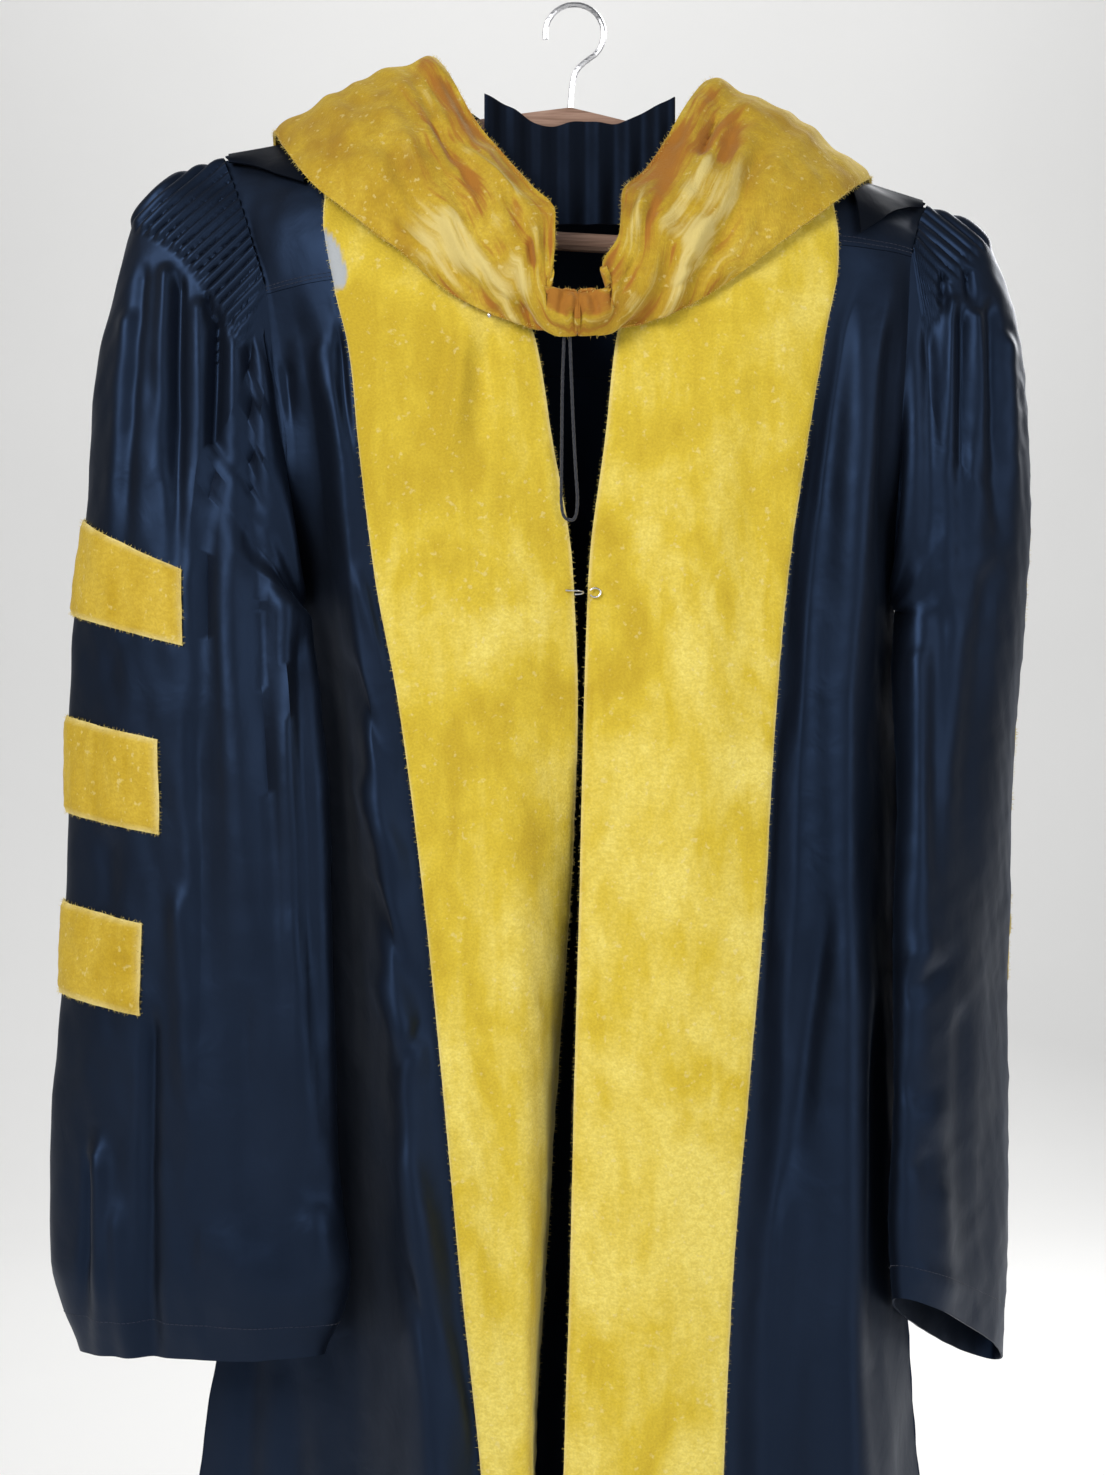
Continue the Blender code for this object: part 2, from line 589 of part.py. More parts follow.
def shell_points(across, levels):
    found = read(SHELL, SHELL_COLUMNS, "z_left", levels)
    place, share = back_rounding(across)
    half = (place + 1) / 2
    grid = np.zeros((len(levels), len(across), 3))
    for i in range(len(levels)):
        side = found["left_y"][i] + (found["right_y"][i] - found["left_y"][i]) * half
        grid[i, :, 0] = found["left_x"][i] + (found["right_x"][i] - found["left_x"][i]) * half
        grid[i, :, 1] = side + (found["depth"][i] - side) * share
        grid[i, :, 2] = found["z_left"][i] + (found["z_right"][i] - found["z_left"][i]) * half
    return grid


def make_hood_shell(collection):
    across = np.linspace(0, 1, 21)
    levels = column(SHELL, SHELL_COLUMNS, "z_left")
    body = shell_points(across, levels)
    top = shoulder_line(across, SHELL_RISE)
    top[:, 1] += SEAM_GAP
    arch = arched(top, body[0], np.linspace(0, 1, 6))
    grid = np.concatenate([arch[:-1], body])
    wall("hood_shell", "black_satin", collection, grid, grid + outwards(grid, False, 1) * SATIN)
    for side, rows, sign in (("left", FRONT_LEFT, 1), ("right", FRONT_RIGHT, -1)):
        places = np.linspace(SHOULDER_FROM, SHOULDER_TO, 8)
        steps = np.linspace(0, 1, 5)
        top = column(rows, FRONT_COLUMNS, "z_side")[0]
        drop = SHOULDER_DROP * (1 - SHOULDER_TAPER * np.linspace(0, 1, len(places)))
        grid = np.stack([front_points(rows, np.array([place]), top - reach * steps)[:, 0]
                         for place, reach in zip(places, drop)], axis=1)
        lift = (SATIN + SHOULDER_LIFT * np.sin(steps * np.pi / 2))[:, None, None]
        grid = grid + outwards(grid, False, sign) * lift
        grid[:, :, 2] += SHELL_RISE * (1 - steps)[:, None]
        grid[0, :, 1] = -SEAM_GAP
        wall("hood_shoulder_" + side, "black_satin", collection, grid,
             grid + outwards(grid, False, sign) * SATIN)


def make_neck(collection):
    places = np.linspace(0, 1, 4 * NECK_PLEATS + 1)
    x_keys = column(NECK, NECK_COLUMNS, "x")
    x = x_keys[0] + (x_keys[-1] - x_keys[0]) * places
    top = through(x_keys, column(NECK, NECK_COLUMNS, "top"), x)
    depth = through(x_keys, column(NECK, NECK_COLUMNS, "y"), x)
    pleat = NECK_PLEAT_DEPTH * np.sin(2 * np.pi * NECK_PLEATS * places)
    grid = np.array([
        np.stack([x, depth - pleat * (1 - 0.3 * t), top + (NECK_BOTTOM - top) * t], axis=-1)
        for t in np.linspace(0, 1, 4)
    ])
    wall("hood_neck", "black_satin", collection, grid, grid + outwards(grid, False, -1) * SATIN)


def tilted(x, y, z):
    """A hanger point in metres, after the hanger has swung a little about its hook."""
    turned_x = x * math.cos(HANGER_TILT) + z * math.sin(HANGER_TILT)
    turned_z = -x * math.sin(HANGER_TILT) + z * math.cos(HANGER_TILT)
    return turned_x * MM, y * MM, turned_z * MM


def wire(name, finish, collection, points, radius, sides=2):
    """A round wire or cord along points in metres."""
    line = bpy.data.curves.new(name, "CURVE")
    line.dimensions = "3D"
    line.bevel_depth = radius * MM
    line.bevel_resolution = sides
    line.use_fill_caps = True
    spline = line.splines.new("POLY")
    spline.points.add(len(points) - 1)
    for target, point in zip(spline.points, points):
        target.co = (*point, 1)
    line.materials.append(material(finish))
    made = bpy.data.objects.new(name, line)
    collection.objects.link(made)
    return made


def smooth_line(points, count):
    """Points spaced evenly along one smooth curve through a route's own points."""
    points = np.asarray(points, float)
    run = np.concatenate([[0], np.cumsum(np.linalg.norm(np.diff(points, axis=0), axis=1))])
    at = np.linspace(0, run[-1], count)
    return np.stack([through(run, points[:, axis], at) for axis in range(3)], axis=-1)


def make_hanger(collection):
    half = np.array(ARM_LINE, float)
    x = np.linspace(-half[-1, 0], half[-1, 0], 25)
    z = through(half[:, 0], half[:, 1], np.abs(x))
    slope = np.gradient(z, x)
    rows = []
    for level in (-1, 1):
        for depth in (-1, 1):
            height = level * (ARM_HEIGHT / 2) * (1 - 0.35 * (np.abs(x) / half[-1, 0]) ** 3)
            length = np.sqrt(1 + slope * slope)
            side_x = x - height * slope / length
            side_z = z + height / length
            rows.append([tilted(px, depth * ARM_DEPTH / 2, pz) for px, pz in zip(side_x, side_z)])
    order = (0, 1, 3, 2)
    shell = bmesh.new()
    loops = [[shell.verts.new(rows[k][i]) for k in order] for i in range(len(x))]
    for first, second in zip(loops, loops[1:]):
        for k in range(4):
            shell.faces.new((first[k], first[(k + 1) % 4], second[(k + 1) % 4], second[k]))
    shell.faces.new(loops[0])
    shell.faces.new(loops[-1])
    bmesh.ops.recalc_face_normals(shell, faces=shell.faces)
    mesh = bpy.data.meshes.new("hanger_arms")
    shell.to_mesh(mesh)
    shell.free()
    mesh.materials.append(material("pale_wood"))
    arms = bpy.data.objects.new("hanger_arms", mesh)
    collection.objects.link(arms)

    wire("hanger_bar", "pale_wood", collection,
         [tilted(-BAR_END, 0, BAR_LEVEL), tilted(BAR_END, 0, BAR_LEVEL)], BAR_RADIUS, 4)

    centre = -HOOK_RING + HOOK_WIRE
    shank_foot = half[0, 1] + ARM_HEIGHT / 2 + SEAM_GAP
    route = [(0, shank_foot), (0, shank_foot + 8), (1.5, HOOK_SHANK_TOP)]
    for step in range(17):
        angle = math.radians(-62 + step * 16)
        route.append((HOOK_RING * math.cos(angle), centre + HOOK_RING * math.sin(angle)))
    points = smooth_line([(px, 0, pz) for px, pz in route], 30)
    wire("hanger_hook", "bright_steel", collection, [tilted(*point) for point in points], HOOK_WIRE)


def make_small_pieces(collection):
    cord = smooth_line(CORD_LINE, 44)
    wire("hood_loop", "dark_cord", collection, [tuple(point * MM) for point in cord], CORD_RADIUS)
    eye = [(3.6 * math.cos(a), -77.3, -403.5 + 3 * math.sin(a))
           for a in np.linspace(math.radians(-150), math.radians(150), 13)]
    wire("closure_eye", "bright_steel", collection,
         [tuple(np.array(p) * MM + np.array((0.0118, 0, 0))) for p in eye], CLOSURE_WIRE)
    hook = [(-7.5, -76.8, -402), (-1.5, -77, -402.2), (2.4, -78, -402.6), (4.2, -79.4, -403.4),
            (2.4, -80.2, -404.6), (-1.5, -80, -404.8)]
    wire("closure_hook", "bright_steel", collection,
         [tuple(point * MM) for point in smooth_line(hook, 14)], CLOSURE_WIRE)
    head = bpy.data.meshes.new("pin_head")
    ball = bmesh.new()
    bmesh.ops.create_uvsphere(ball, u_segments=10, v_segments=6, radius=PIN_RADIUS * MM)
    bmesh.ops.translate(ball, vec=tuple(value * MM for value in PIN_PLACE), verts=ball.verts)
    ball.to_mesh(head)
    ball.free()
    head.materials.append(material("bright_steel"))
    collection.objects.link(bpy.data.objects.new("pin_head", head))


def main():
    clear_scene()
    gown = new_collection("graduation gown")
    make_fronts(gown)
    make_back(gown)
    make_sleeves(gown)
    make_hood(gown)
    make_hood_shell(gown)
    make_neck(gown)
    make_hanger(gown)
    make_small_pieces(gown)


main()
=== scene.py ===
"""Looks of a doctoral graduation gown with its hood, hanging on a wooden hanger.

The tables are in millimetres, in the part's own frame: the origin is inside the hanger hook's crook,
+X is the viewer's right, +Y is away from the viewer and +Z is up. The meshes are in metres.
"""

import json
import math

import bpy
import numpy as np
from bpy.props import FloatProperty, FloatVectorProperty, IntProperty, PointerProperty
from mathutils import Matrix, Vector

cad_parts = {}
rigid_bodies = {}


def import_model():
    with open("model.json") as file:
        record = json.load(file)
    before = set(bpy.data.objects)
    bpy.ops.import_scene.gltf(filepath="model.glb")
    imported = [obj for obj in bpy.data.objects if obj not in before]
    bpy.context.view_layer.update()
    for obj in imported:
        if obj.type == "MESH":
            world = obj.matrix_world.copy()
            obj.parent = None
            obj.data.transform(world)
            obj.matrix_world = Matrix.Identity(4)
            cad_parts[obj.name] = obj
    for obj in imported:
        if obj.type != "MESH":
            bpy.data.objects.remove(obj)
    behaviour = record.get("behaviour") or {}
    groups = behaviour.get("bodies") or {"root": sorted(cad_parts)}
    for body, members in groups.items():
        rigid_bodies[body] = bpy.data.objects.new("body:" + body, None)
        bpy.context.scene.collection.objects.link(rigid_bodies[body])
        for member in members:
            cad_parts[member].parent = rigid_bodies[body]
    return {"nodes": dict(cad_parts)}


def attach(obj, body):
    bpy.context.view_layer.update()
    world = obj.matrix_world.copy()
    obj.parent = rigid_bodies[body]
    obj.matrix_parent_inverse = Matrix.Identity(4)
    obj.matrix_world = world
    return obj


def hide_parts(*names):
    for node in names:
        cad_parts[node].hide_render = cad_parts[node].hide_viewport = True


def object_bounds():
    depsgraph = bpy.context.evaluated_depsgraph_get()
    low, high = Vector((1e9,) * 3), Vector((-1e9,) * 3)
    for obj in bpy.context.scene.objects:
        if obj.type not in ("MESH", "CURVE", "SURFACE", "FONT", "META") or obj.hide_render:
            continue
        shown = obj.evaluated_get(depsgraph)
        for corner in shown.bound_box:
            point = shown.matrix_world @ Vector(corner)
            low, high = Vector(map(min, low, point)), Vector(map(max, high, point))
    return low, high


bl_info = {
    "name": "Graduation Gown",
    "version": (1, 0, 0),
    "blender": (4, 5, 0),
    "location": "3D View > Sidebar > Gown",
    "description": "Dresses a doctoral graduation gown that hangs on a wooden hanger",
    "category": "Object",
}

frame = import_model()
CAD_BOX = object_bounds()
MM = 0.001
BODY = "root"

# Seams, laps and folds of the pieces, as in the part
SEAM_GAP = 0.35
LAY_GAP = 0.6
FLUTES_BACK = 12
FLUTE_FROM = 0.22
FLUTE_TO = 0.78
BACK_FOLDS = 9
BACK_SHIFT = (0.012, 9)
SEAM_ROW = 3
UNDERARM_ROW = 6
BACK_UNDERARM_ROW = 2
FACING_EDGE = 0.4

# Each front panel from the shoulder to the hem: the level at the centre edge and at the side, then the
# plan position of each named line
FRONT_COLUMNS = (
    "z_edge", "z_side", "edge_x", "edge_y", "mid_x", "mid_y", "lap_x", "lap_y",
    "inner_x", "inner_y", "outer_x", "outer_y", "side_x", "side_y",
)
FRONT_KNOTS = (0.0, 0.2, 0.4, 0.55, 0.76, 1.0)
FRONT_LEFT = (
    (-74, -106, -72, -2, -105, -1, -139, -1, -164, -1, -197, -1, -239, -1),
    (-108, -128, -70, -40, -112, -40, -160, -34, -184, -30, -208, -22, -231, -14),
    (-148, -160, -60, -62, -108, -62, -167, -54, -188, -49, -206, -40, -219, -30),
    (-193, -203, -46, -70, -100, -72, -160, -63, -176, -58, -192, -51, -206, -43),
    (-240, -250, -27, -72, -88, -76, -149, -68, -162, -66, -180, -50, -201, -41),
    (-300, -312, -17, -72, -80, -77, -143, -70, -154, -72, -171, -52, -192, -44),
    (-390, -400, -3, -71, -68, -78, -132, -71, -146, -71, -163, -40, -197, -4),
    (-474, -474, 0, -68, -60, -79, -117, -73, -136, -75, -158, -24, -212, 26),
    (-604, -604, -6, -50, -46, -82, -100, -76, -122, -81, -152, -20, -218, 28),
    (-720, -720, -15, -34, -41, -84, -88, -79, -112, -87, -148, -20, -226, 30),
    (-850, -850, -23, -20, -37, -87, -76, -81, -102, -93, -144, -24, -236, 30),
    (-981, -981, -32, -10, -36, -88, -62, -83, -92, -101, -142, -34, -256, 30),
    (-1150, -1150, -36, -4, -32, -92, -50, -87, -82, -108, -140, -56, -270, 30),
    (-1351, -1351, -38, 0, -28, -98, -42, -92, -74, -118, -140, -66, -288, 34),
)
FRONT_RIGHT = (
    (-82, -138, 72, -2, 105, -1, 138, -1, 163, -1, 196, -1, 238, -1),
    (-114, -152, 70, -38, 114, -38, 164, -34, 188, -30, 210, -22, 231, -14),
    (-142, -162, 64, -58, 114, -60, 170, -52, 190, -46, 209, -37, 227, -28),
    (-171, -177, 54, -68, 110, -69, 172, -61, 190, -55, 208, -46, 223, -36),
    (-231, -240, 27, -72, 93, -76, 162, -68, 177, -60, 198, -62, 219, -41),
    (-300, -310, 19, -72, 85, -78, 150, -70, 166, -57, 191, -66, 216, -35),
    (-390, -400, 8, -71, 73, -78, 137, -72, 156, -55, 184, -66, 216, 2),
    (-474, -474, 5, -70, 68, -79, 130, -73, 150, -55, 178, -66, 219, 8),
    (-604, -604, 2, -70, 61, -79, 122, -74, 146, -56, 177, -68, 222, 10),
    (-720, -720, -1, -70, 56, -80, 112, -75, 138, -58, 176, -70, 223, 12),
    (-850, -850, -4, -70, 51, -81, 101, -76, 130, -60, 176, -76, 225, 14),
    (-981, -981, -8, -70, 44, -82, 95, -78, 126, -62, 178, -84, 232, 16),
    (-1150, -1150, -12, -70, 40, -86, 90, -82, 124, -66, 184, -98, 262, 18),
    (-1351, -1351, -16, -72, 36, -90, 85, -86, 122, -72, 190, -110, 292, 20),
)

# The back below its yoke
BACK_COLUMNS = ("z_left", "z_right", "left_x", "left_y", "right_x", "right_y", "depth", "fold")
BACK = (
    (-236, -252, -212, 50, 226, 46, 62, 2),
    (-330, -332, -207, 44, 219, 36, 65, 6),
    (-400, -400, -197, -4, 216, 2, 68, 9),
    (-474, -474, -212, 26, 219, 8, 70, 11),
    (-604, -604, -218, 28, 222, 10, 72, 14),
    (-720, -720, -226, 30, 223, 12, 74, 17),
    (-850, -850, -236, 30, 225, 14, 78, 20),
    (-981, -981, -256, 30, 232, 16, 82, 24),
    (-1150, -1150, -270, 30, 262, 18, 92, 29),
    (-1351, -1351, -288, 34, 292, 20, 104, 34),
)
BACK_ROUND = 2.6
NECK_HOLLOW = 44
NECK_DROP = 16

# Each sleeve's rings below the armhole: level inside and outside, the middle's x and y, half length, half
# depth, turn in degrees and the fullness of the part's own pleats
SLEEVE_LEFT = (
    (-411, -118, -242, 2, 32, 47, 2, 2.4),
    (-413, -150, -256, 0, 45, 48, 4, 2.2),
    (-414, -190, -261, -3, 50, 47, 6, 1.4),
    (-415, -260, -261, -15, 65, 42, 12, 0),
    (-419, -350, -257, -25, 78, 37, 16, 0),
    (-457, -415, -256, -32, 86, 34, 17, 0),
    (-520, -483, -254, -36, 92, 32, 19, 0),
    (-580, -548, -253, -36, 94.5, 31, 19, 0),
    (-642, -608, -253, -36, 96.5, 31, 19, 0),
    (-700, -670, -254, -36, 98.5, 32, 18, 0),
    (-775, -760, -256, -35, 102, 33, 17, 0),
    (-852, -848, -253.5, -34, 106, 35, 16, 0),
    (-905, -912, -250.5, -32, 87, 25, 16, 0),
)
SLEEVE_RIGHT = (
    (-407, -150, 246.5, 2, 25, 46, 4, 2.4),
    (-409, -175, 254, 3, 33, 45, 12, 2.2),
    (-411, -210, 259.5, 4, 40, 44, 20, 1.4),
    (-413, -270, 263, 6, 46, 42, 32, 0),
    (-418, -350, 265, 8, 56, 37, 44, 0),
    (-460, -415, 263, 10, 66, 33, 52, 0),
    (-522, -483, 262, 12, 76, 29, 58, 0),
    (-582, -548, 261, 13, 84, 27, 61, 0),
    (-642, -608, 260, 14, 90, 25, 62, 0),
    (-702, -670, 258, 14, 94, 24, 63, 0),
    (-762, -775, 258, 15, 96, 24, 63, 0),
    (-815, -865, 258, 15, 97, 24, 62, 0),
    (-866, -945, 257, 15, 92, 22, 62, 0),
)

# Bars: the sleeve rings that bound each, and where each ends on the ring
BARS_LEFT = ((5, 6, 0.235, 0.62), (7, 8, 0.27, 0.62), (9, 10, 0.29, 0.62))
BARS_RIGHT = ((5, 6, 0.43, 0.74), (7, 8, 0.43, 0.74), (9, 10, 0.43, 0.74))

# Hood band from the front V over the shoulder to the back V: x, y and z of its neck edge and of its hem,
# and how far it swells between them
BAND_LEFT = (
    (-0.4, -99, -211, -0.4, -86.6, -236.6, 6),
    (-16, -101, -208, -10, -86.6, -236, 7),
    (-15, -101, -192, -24, -86, -233, 8),
    (-14, -94, -160, -52, -84, -224, 10),
    (-30, -78, -138, -84, -83, -208, 12),
    (-50, -60, -112, -117, -82, -180, 13),
    (-68, -40, -86, -148, -77, -156, 12),
    (-82, -20, -58, -172, -64, -136, 10),
    (-91, -8, -42, -191, -36, -110, 8),
    (-96, 2, -36, -206, 0, -86, 6),
    (-97, 20, -44, -208, 26, -96, 6),
    (-95, 40, -66, -205, 56, -124, 6),
    (-90, 72, -110, -198, 78, -172, 5),
    (-81, 92, -180, -186, 90, -245, 3),
    (-69, 99, -275, -164, 100, -350, 2),
    (-48, 105, -372, -128, 108, -455, 2),
    (-24, 110, -450, -78, 114, -542, 2),
    (-0.4, 112, -500, -0.4, 118, -612, 2),
)
BAND_RIGHT = (
    (0.4, -99, -211, 0.4, -86.6, -236.6, 6),
    (18, -101, -209, 12, -86.6, -236, 7),
    (16, -101, -194, 28, -86, -232, 8),
    (27, -92, -172, 54, -84, -225, 10),
    (30, -78, -142, 90, -83, -207, 12),
    (45, -60, -124, 114, -82, -190, 13),
    (63, -40, -94, 142, -77, -168, 12),
    (77, -20, -68, 166, -66, -149, 10),
    (87, -8, -54, 187, -38, -130, 8),
    (93, 2, -50, 201, 0, -118.4, 6),
    (94, 20, -58, 203, 26, -126.4, 6),
    (92, 40, -80, 200, 56, -150, 6),
    (88, 72, -122, 194, 78, -192, 5),
    (80, 92, -190, 183, 90, -258, 3),
    (68, 99, -280, 162, 100, -355, 2),
    (48, 105, -375, 127, 108, -457, 2),
    (24, 110, -450, 78, 114, -543, 2),
    (0.4, 112, -500, 0.4, 118, -612, 2),
)

# Hood shell on the back: level, x and y as the back's, and depth
SHELL = (
    (-250, -264, -222, 74, 224, 72, 88),
    (-400, -405, -212, 66, 214, 64, 97),
    (-550, -550, -190, 86, 190, 84, 108),
    (-700, -700, -164, 104, 164, 104, 120),
    (-820, -820, -142, 118, 142, 118, 130),
    (-900, -900, -112, 128, 112, 128, 138),
    (-938, -938, -62, 134, 62, 134, 142),
)
SHELL_RISE = 3.3
SHELL_STILL = -150
SHELL_FADE = 120
SHELL_WAVES = (60, 71)
SHOULDER_FROM = 0.5
SHOULDER_TO = 0.985
SHOULDER_DROP = 34
SHOULDER_TAPER = 0.85
SHOULDER_LIFT = 4.0

# Neck cloth in front of the hanger's middle: place across, level of its top edge, depth
NECK = (
    (-62, -64, -20), (-44, -72, -14), (-20, -84, -9.8), (4, -80, -9), (26, -82, -9.8),
    (48, -74, -14), (66, -66, -20),
)
NECK_BOTTOM = -150
NECK_PLEATS = 7
NECK_PLEAT_DEPTH = 1.6
NECK_PLEAT_EASE = 0.3

# Free cord loop below the hood's V, as the points it follows
CORD_RADIUS = 1.1
CORD_LINE = (
    (-8.6, -86, -237.4), (-8.8, -83, -246), (-9.4, -81.6, -262), (-9.8, -81.6, -282),
    (-10, -81.6, -304), (-10.2, -81.6, -326), (-10.4, -81.6, -342), (-9.6, -81.6, -351),
    (-6.8, -81.7, -356), (-3.2, -81.8, -356.6), (-0.4, -81.9, -352), (0.2, -82, -343),
    (-0.8, -82, -326), (-2, -82, -304), (-3, -82, -282), (-3.8, -82, -262), (-4.4, -83, -246),
    (-4.8, -86, -237.4),
)

# Creases that the photograph shows, as marks read from it: the column and row of each end in its pixels,
# then how far the line bows, its half width and its height in millimetres, troughs below nought
SLEEVE_LEFT_MARKS = (
    (163, 255, 160, 420, 0, 6, 4.5), (177, 262, 178, 520, 0, 5, -6.5), (196, 290, 200, 470, 0, 8, 5),
    (216, 300, 214, 560, 1, 4.5, -8), (232, 315, 236, 500, 0, 6, 4.5), (247, 330, 252, 560, -1, 4, -6.5),
    (259, 345, 268, 520, 0, 6, 4.5), (140, 250, 128, 520, 2, 6, -4), (125, 300, 112, 500, 0, 9, 3.5),
    (206, 290, 210, 318, 0, 3, -5), (229, 318, 235, 335, 0, 2.5, -4), (262, 338, 274, 365, 0, 3, -4),
    (205, 500, 225, 820, 4, 9, -5.5), (225, 540, 250, 900, 4, 9, 5), (262, 520, 285, 900, 4, 7, -6.5),
    (285, 580, 305, 900, 2, 8, 5), (300, 620, 322, 1010, 3, 6, -5.5), (195, 700, 215, 1010, 0, 8, -4.5),
    (182, 880, 195, 1150, 0, 10, 4.5), (154, 1000, 154, 1350, 2, 6.5, -7.5),
    (98, 1140, 96, 1335, -3, 8, 6.5), (87, 1150, 82, 1300, -2, 4.5, -5),
    (120, 1200, 128, 1350, 2, 7, 3.5), (244, 980, 262, 1200, 2, 9, -4), (296, 900, 312, 1100, 0, 7, 4),
    (318, 1200, 326, 1266, 0, 12, 6), (298, 1168, 346, 1190, 3, 5, -5), (200, 1230, 300, 1270, 6, 16, 3),
    (112, 640, 108, 700, 0, 10, -2.5), (110, 830, 104, 900, 0, 10, -2.5),
)
SLEEVE_RIGHT_MARKS = (
    (937, 280, 937, 312, 0, 3.5, -6), (962, 274, 964, 304, 0, 3.5, -6), (946, 298, 942, 430, 0, 6, 4.5),
    (969, 312, 975, 430, 0, 6, 4), (955, 306, 958, 570, 2, 5, -6), (986, 296, 992, 520, 2, 6, -4.5),
    (1003, 330, 1010, 520, 0, 7, 3.5), (921, 320, 925, 620, 0, 6, -5), (940, 590, 925, 880, 3, 9, -4.5),
    (913, 640, 911, 900, 0, 7, 4.5), (985, 560, 962, 850, 4, 10, -4),
)
SLEEVE_RIGHT_LOW_MARKS = (
    (902, 988, 945, 958, 3, 5, -5), (903, 958, 926, 942, 0, 8, 5), (897, 1075, 930, 1092, 2, 6, -4),
    (897, 1160, 928, 1148, 2, 6, -3), (915, 1122, 942, 1100, 0, 10, 3), (960, 1000, 966, 1260, 2, 9, -4),
    (935, 1180, 940, 1290, 0, 12, 3), (905, 1262, 970, 1290, 3, 7, 2.5),
)
FRONT_LEFT_MARKS = (
    (352, 560, 392, 690, 0, 7, 4.5), (340, 640, 398, 780, 2, 6, -5), (352, 760, 410, 900, 0, 8, 4.5),
    (360, 860, 425, 1010, 2, 6, -5), (372, 960, 430, 1090, 0, 9, 4.5), (428, 1015, 385, 1095, 2, 5, -3),
    (400, 1120, 440, 1330, 0, 10, 5), (395, 1230, 462, 1400, 3, 7, -4.5), (430, 1300, 478, 1475, 0, 9, 4),
    (340, 310, 352, 470, 2, 4.5, -4.5), (334, 288, 346, 318, 0, 4, 3.5), (295, 318, 300, 420, 0, 9, 3),
    (284, 350, 280, 430, 0, 6, -3), (322, 330, 332, 420, 2, 5, 3),
)
FRONT_RIGHT_MARKS = (
    (815, 245, 790, 700, 3, 9, -4.5), (790, 690, 772, 1100, 2, 9, -4), (862, 258, 850, 700, 0, 12, 4.5),
    (897, 290, 882, 640, 2, 7, -4.5), (831, 880, 785, 1250, 3, 9, -5), (858, 880, 850, 1400, 0, 15, 4),
    (882, 960, 876, 1475, 2, 7, -4), (792, 1150, 768, 1475, 0, 10, 4), (812, 300, 806, 420, 0, 5, 2.5),
)
FACING_MARKS = (
    (470, 308, 452, 480, 2, 8, 5), (490, 326, 472, 520, 2, 10, -3), (453, 316, 436, 470, 2, 6, -3),
    (420, 620, 450, 1100, 0, 18, -2.5), (505, 700, 506, 1350, 0, 22, 2.5),
    (462, 1120, 490, 1450, 0, 16, -2.5), (700, 350, 690, 1250, 0, 28, 2.5),
    (640, 380, 634, 1420, 0, 18, -2.2), (760, 300, 738, 900, 0, 14, -2.2),
    (664, 900, 655, 1475, 0, 16, 2),
)

# The hood's marks were read in magnified crops, and their bows and widths are in the crops' pixels too
HOOD_LEFT_MARKS = (
    (640, 140, 800, 440, -14, 22, 4), (770, 370, 1150, 715, 10, 20, 4.5),
    (720, 120, 950, 520, -14, 30, -4), (700, 330, 840, 560, -10, 24, -4.5),
    (820, 500, 960, 800, -10, 34, -4.5), (640, 500, 800, 760, -8, 40, -3),
    (800, 720, 1000, 1050, 14, 16, -4), (960, 1000, 1150, 1180, 8, 16, -3.5),
    (560, 640, 960, 1060, -14, 60, 4), (500, 740, 960, 1100, -24, 22, -2.5),
    (600, 840, 900, 1080, -16, 26, 2), (1040, 640, 1130, 860, 10, 30, -3),
    (1120, 820, 1150, 980, 4, 18, -4), (1000, 860, 1110, 1120, -6, 50, 4),
    (1150, 760, 1190, 1000, 6, 24, 3), (860, 600, 960, 900, 0, 34, 3.5), (940, 560, 1080, 860, 8, 50, 3),
    (300, 420, 700, 760, -20, 70, 2.5), (420, 260, 620, 560, -10, 90, 2),
    (240, 560, 620, 860, -16, 40, -2),
)
HOOD_RIGHT_MARKS = (
    (750, 205, 665, 420, 12, 16, -5), (730, 340, 560, 660, -14, 50, 4.5),
    (640, 200, 480, 640, 20, 40, -4.5), (860, 180, 740, 500, 14, 36, -4),
    (880, 380, 700, 720, -12, 50, 3.5), (980, 340, 800, 560, 8, 50, -2.5),
    (460, 540, 330, 880, 10, 26, 4), (490, 560, 420, 860, 8, 24, -3.5), (420, 800, 320, 1020, 6, 20, -3),
    (800, 740, 520, 900, -8, 14, -1.8), (760, 800, 460, 1000, -8, 14, -1.8),
    (700, 640, 560, 820, -6, 60, 3), (1180, 420, 900, 640, -14, 60, 2.5),
    (1260, 480, 1000, 620, -10, 40, -2), (600, 120, 560, 320, 6, 30, 3), (360, 580, 330, 760, 6, 34, 3),
    (270, 840, 220, 960, 0, 26, 3.5),
)
# Marks of painted shade and painted highlight on the hood band's front, partly wear, in the same crops'
# pixels: brown painted shade below nought and cream painted highlight above
SHADE_AND_HIGHLIGHT_LEFT_MARKS = (
    (640, 100, 760, 110, 0, 50, -0.9), (690, 130, 880, 430, -14, 46, -0.95),
    (860, 400, 1010, 560, 6, 30, -0.5), (835, 520, 960, 790, -8, 44, -1.1),
    (640, 520, 800, 760, -6, 36, -0.6), (1050, 640, 1120, 780, 6, 32, -0.6),
    (1125, 820, 1155, 980, 4, 24, -1.1), (380, 740, 880, 1100, -30, 20, -0.6),
    (1180, 1050, 1440, 1090, 20, 44, -1.2), (1150, 1130, 1400, 1180, 14, 26, -0.5),
    (560, 110, 640, 260, 0, 60, -0.35), (580, 640, 980, 1070, -16, 62, 1.1),
    (540, 780, 860, 1000, -16, 50, 1), (1020, 880, 1110, 1120, -4, 54, 1.1),
    (880, 880, 1060, 1060, 6, 30, 0.7), (1190, 860, 1235, 1050, 4, 24, 0.9),
    (430, 560, 560, 640, 0, 40, 0.4), (880, 230, 1220, 720, -16, 30, 0.35),
    (640, 150, 800, 440, -12, 18, 0.5), (760, 380, 900, 500, 4, 18, 0.6),
)
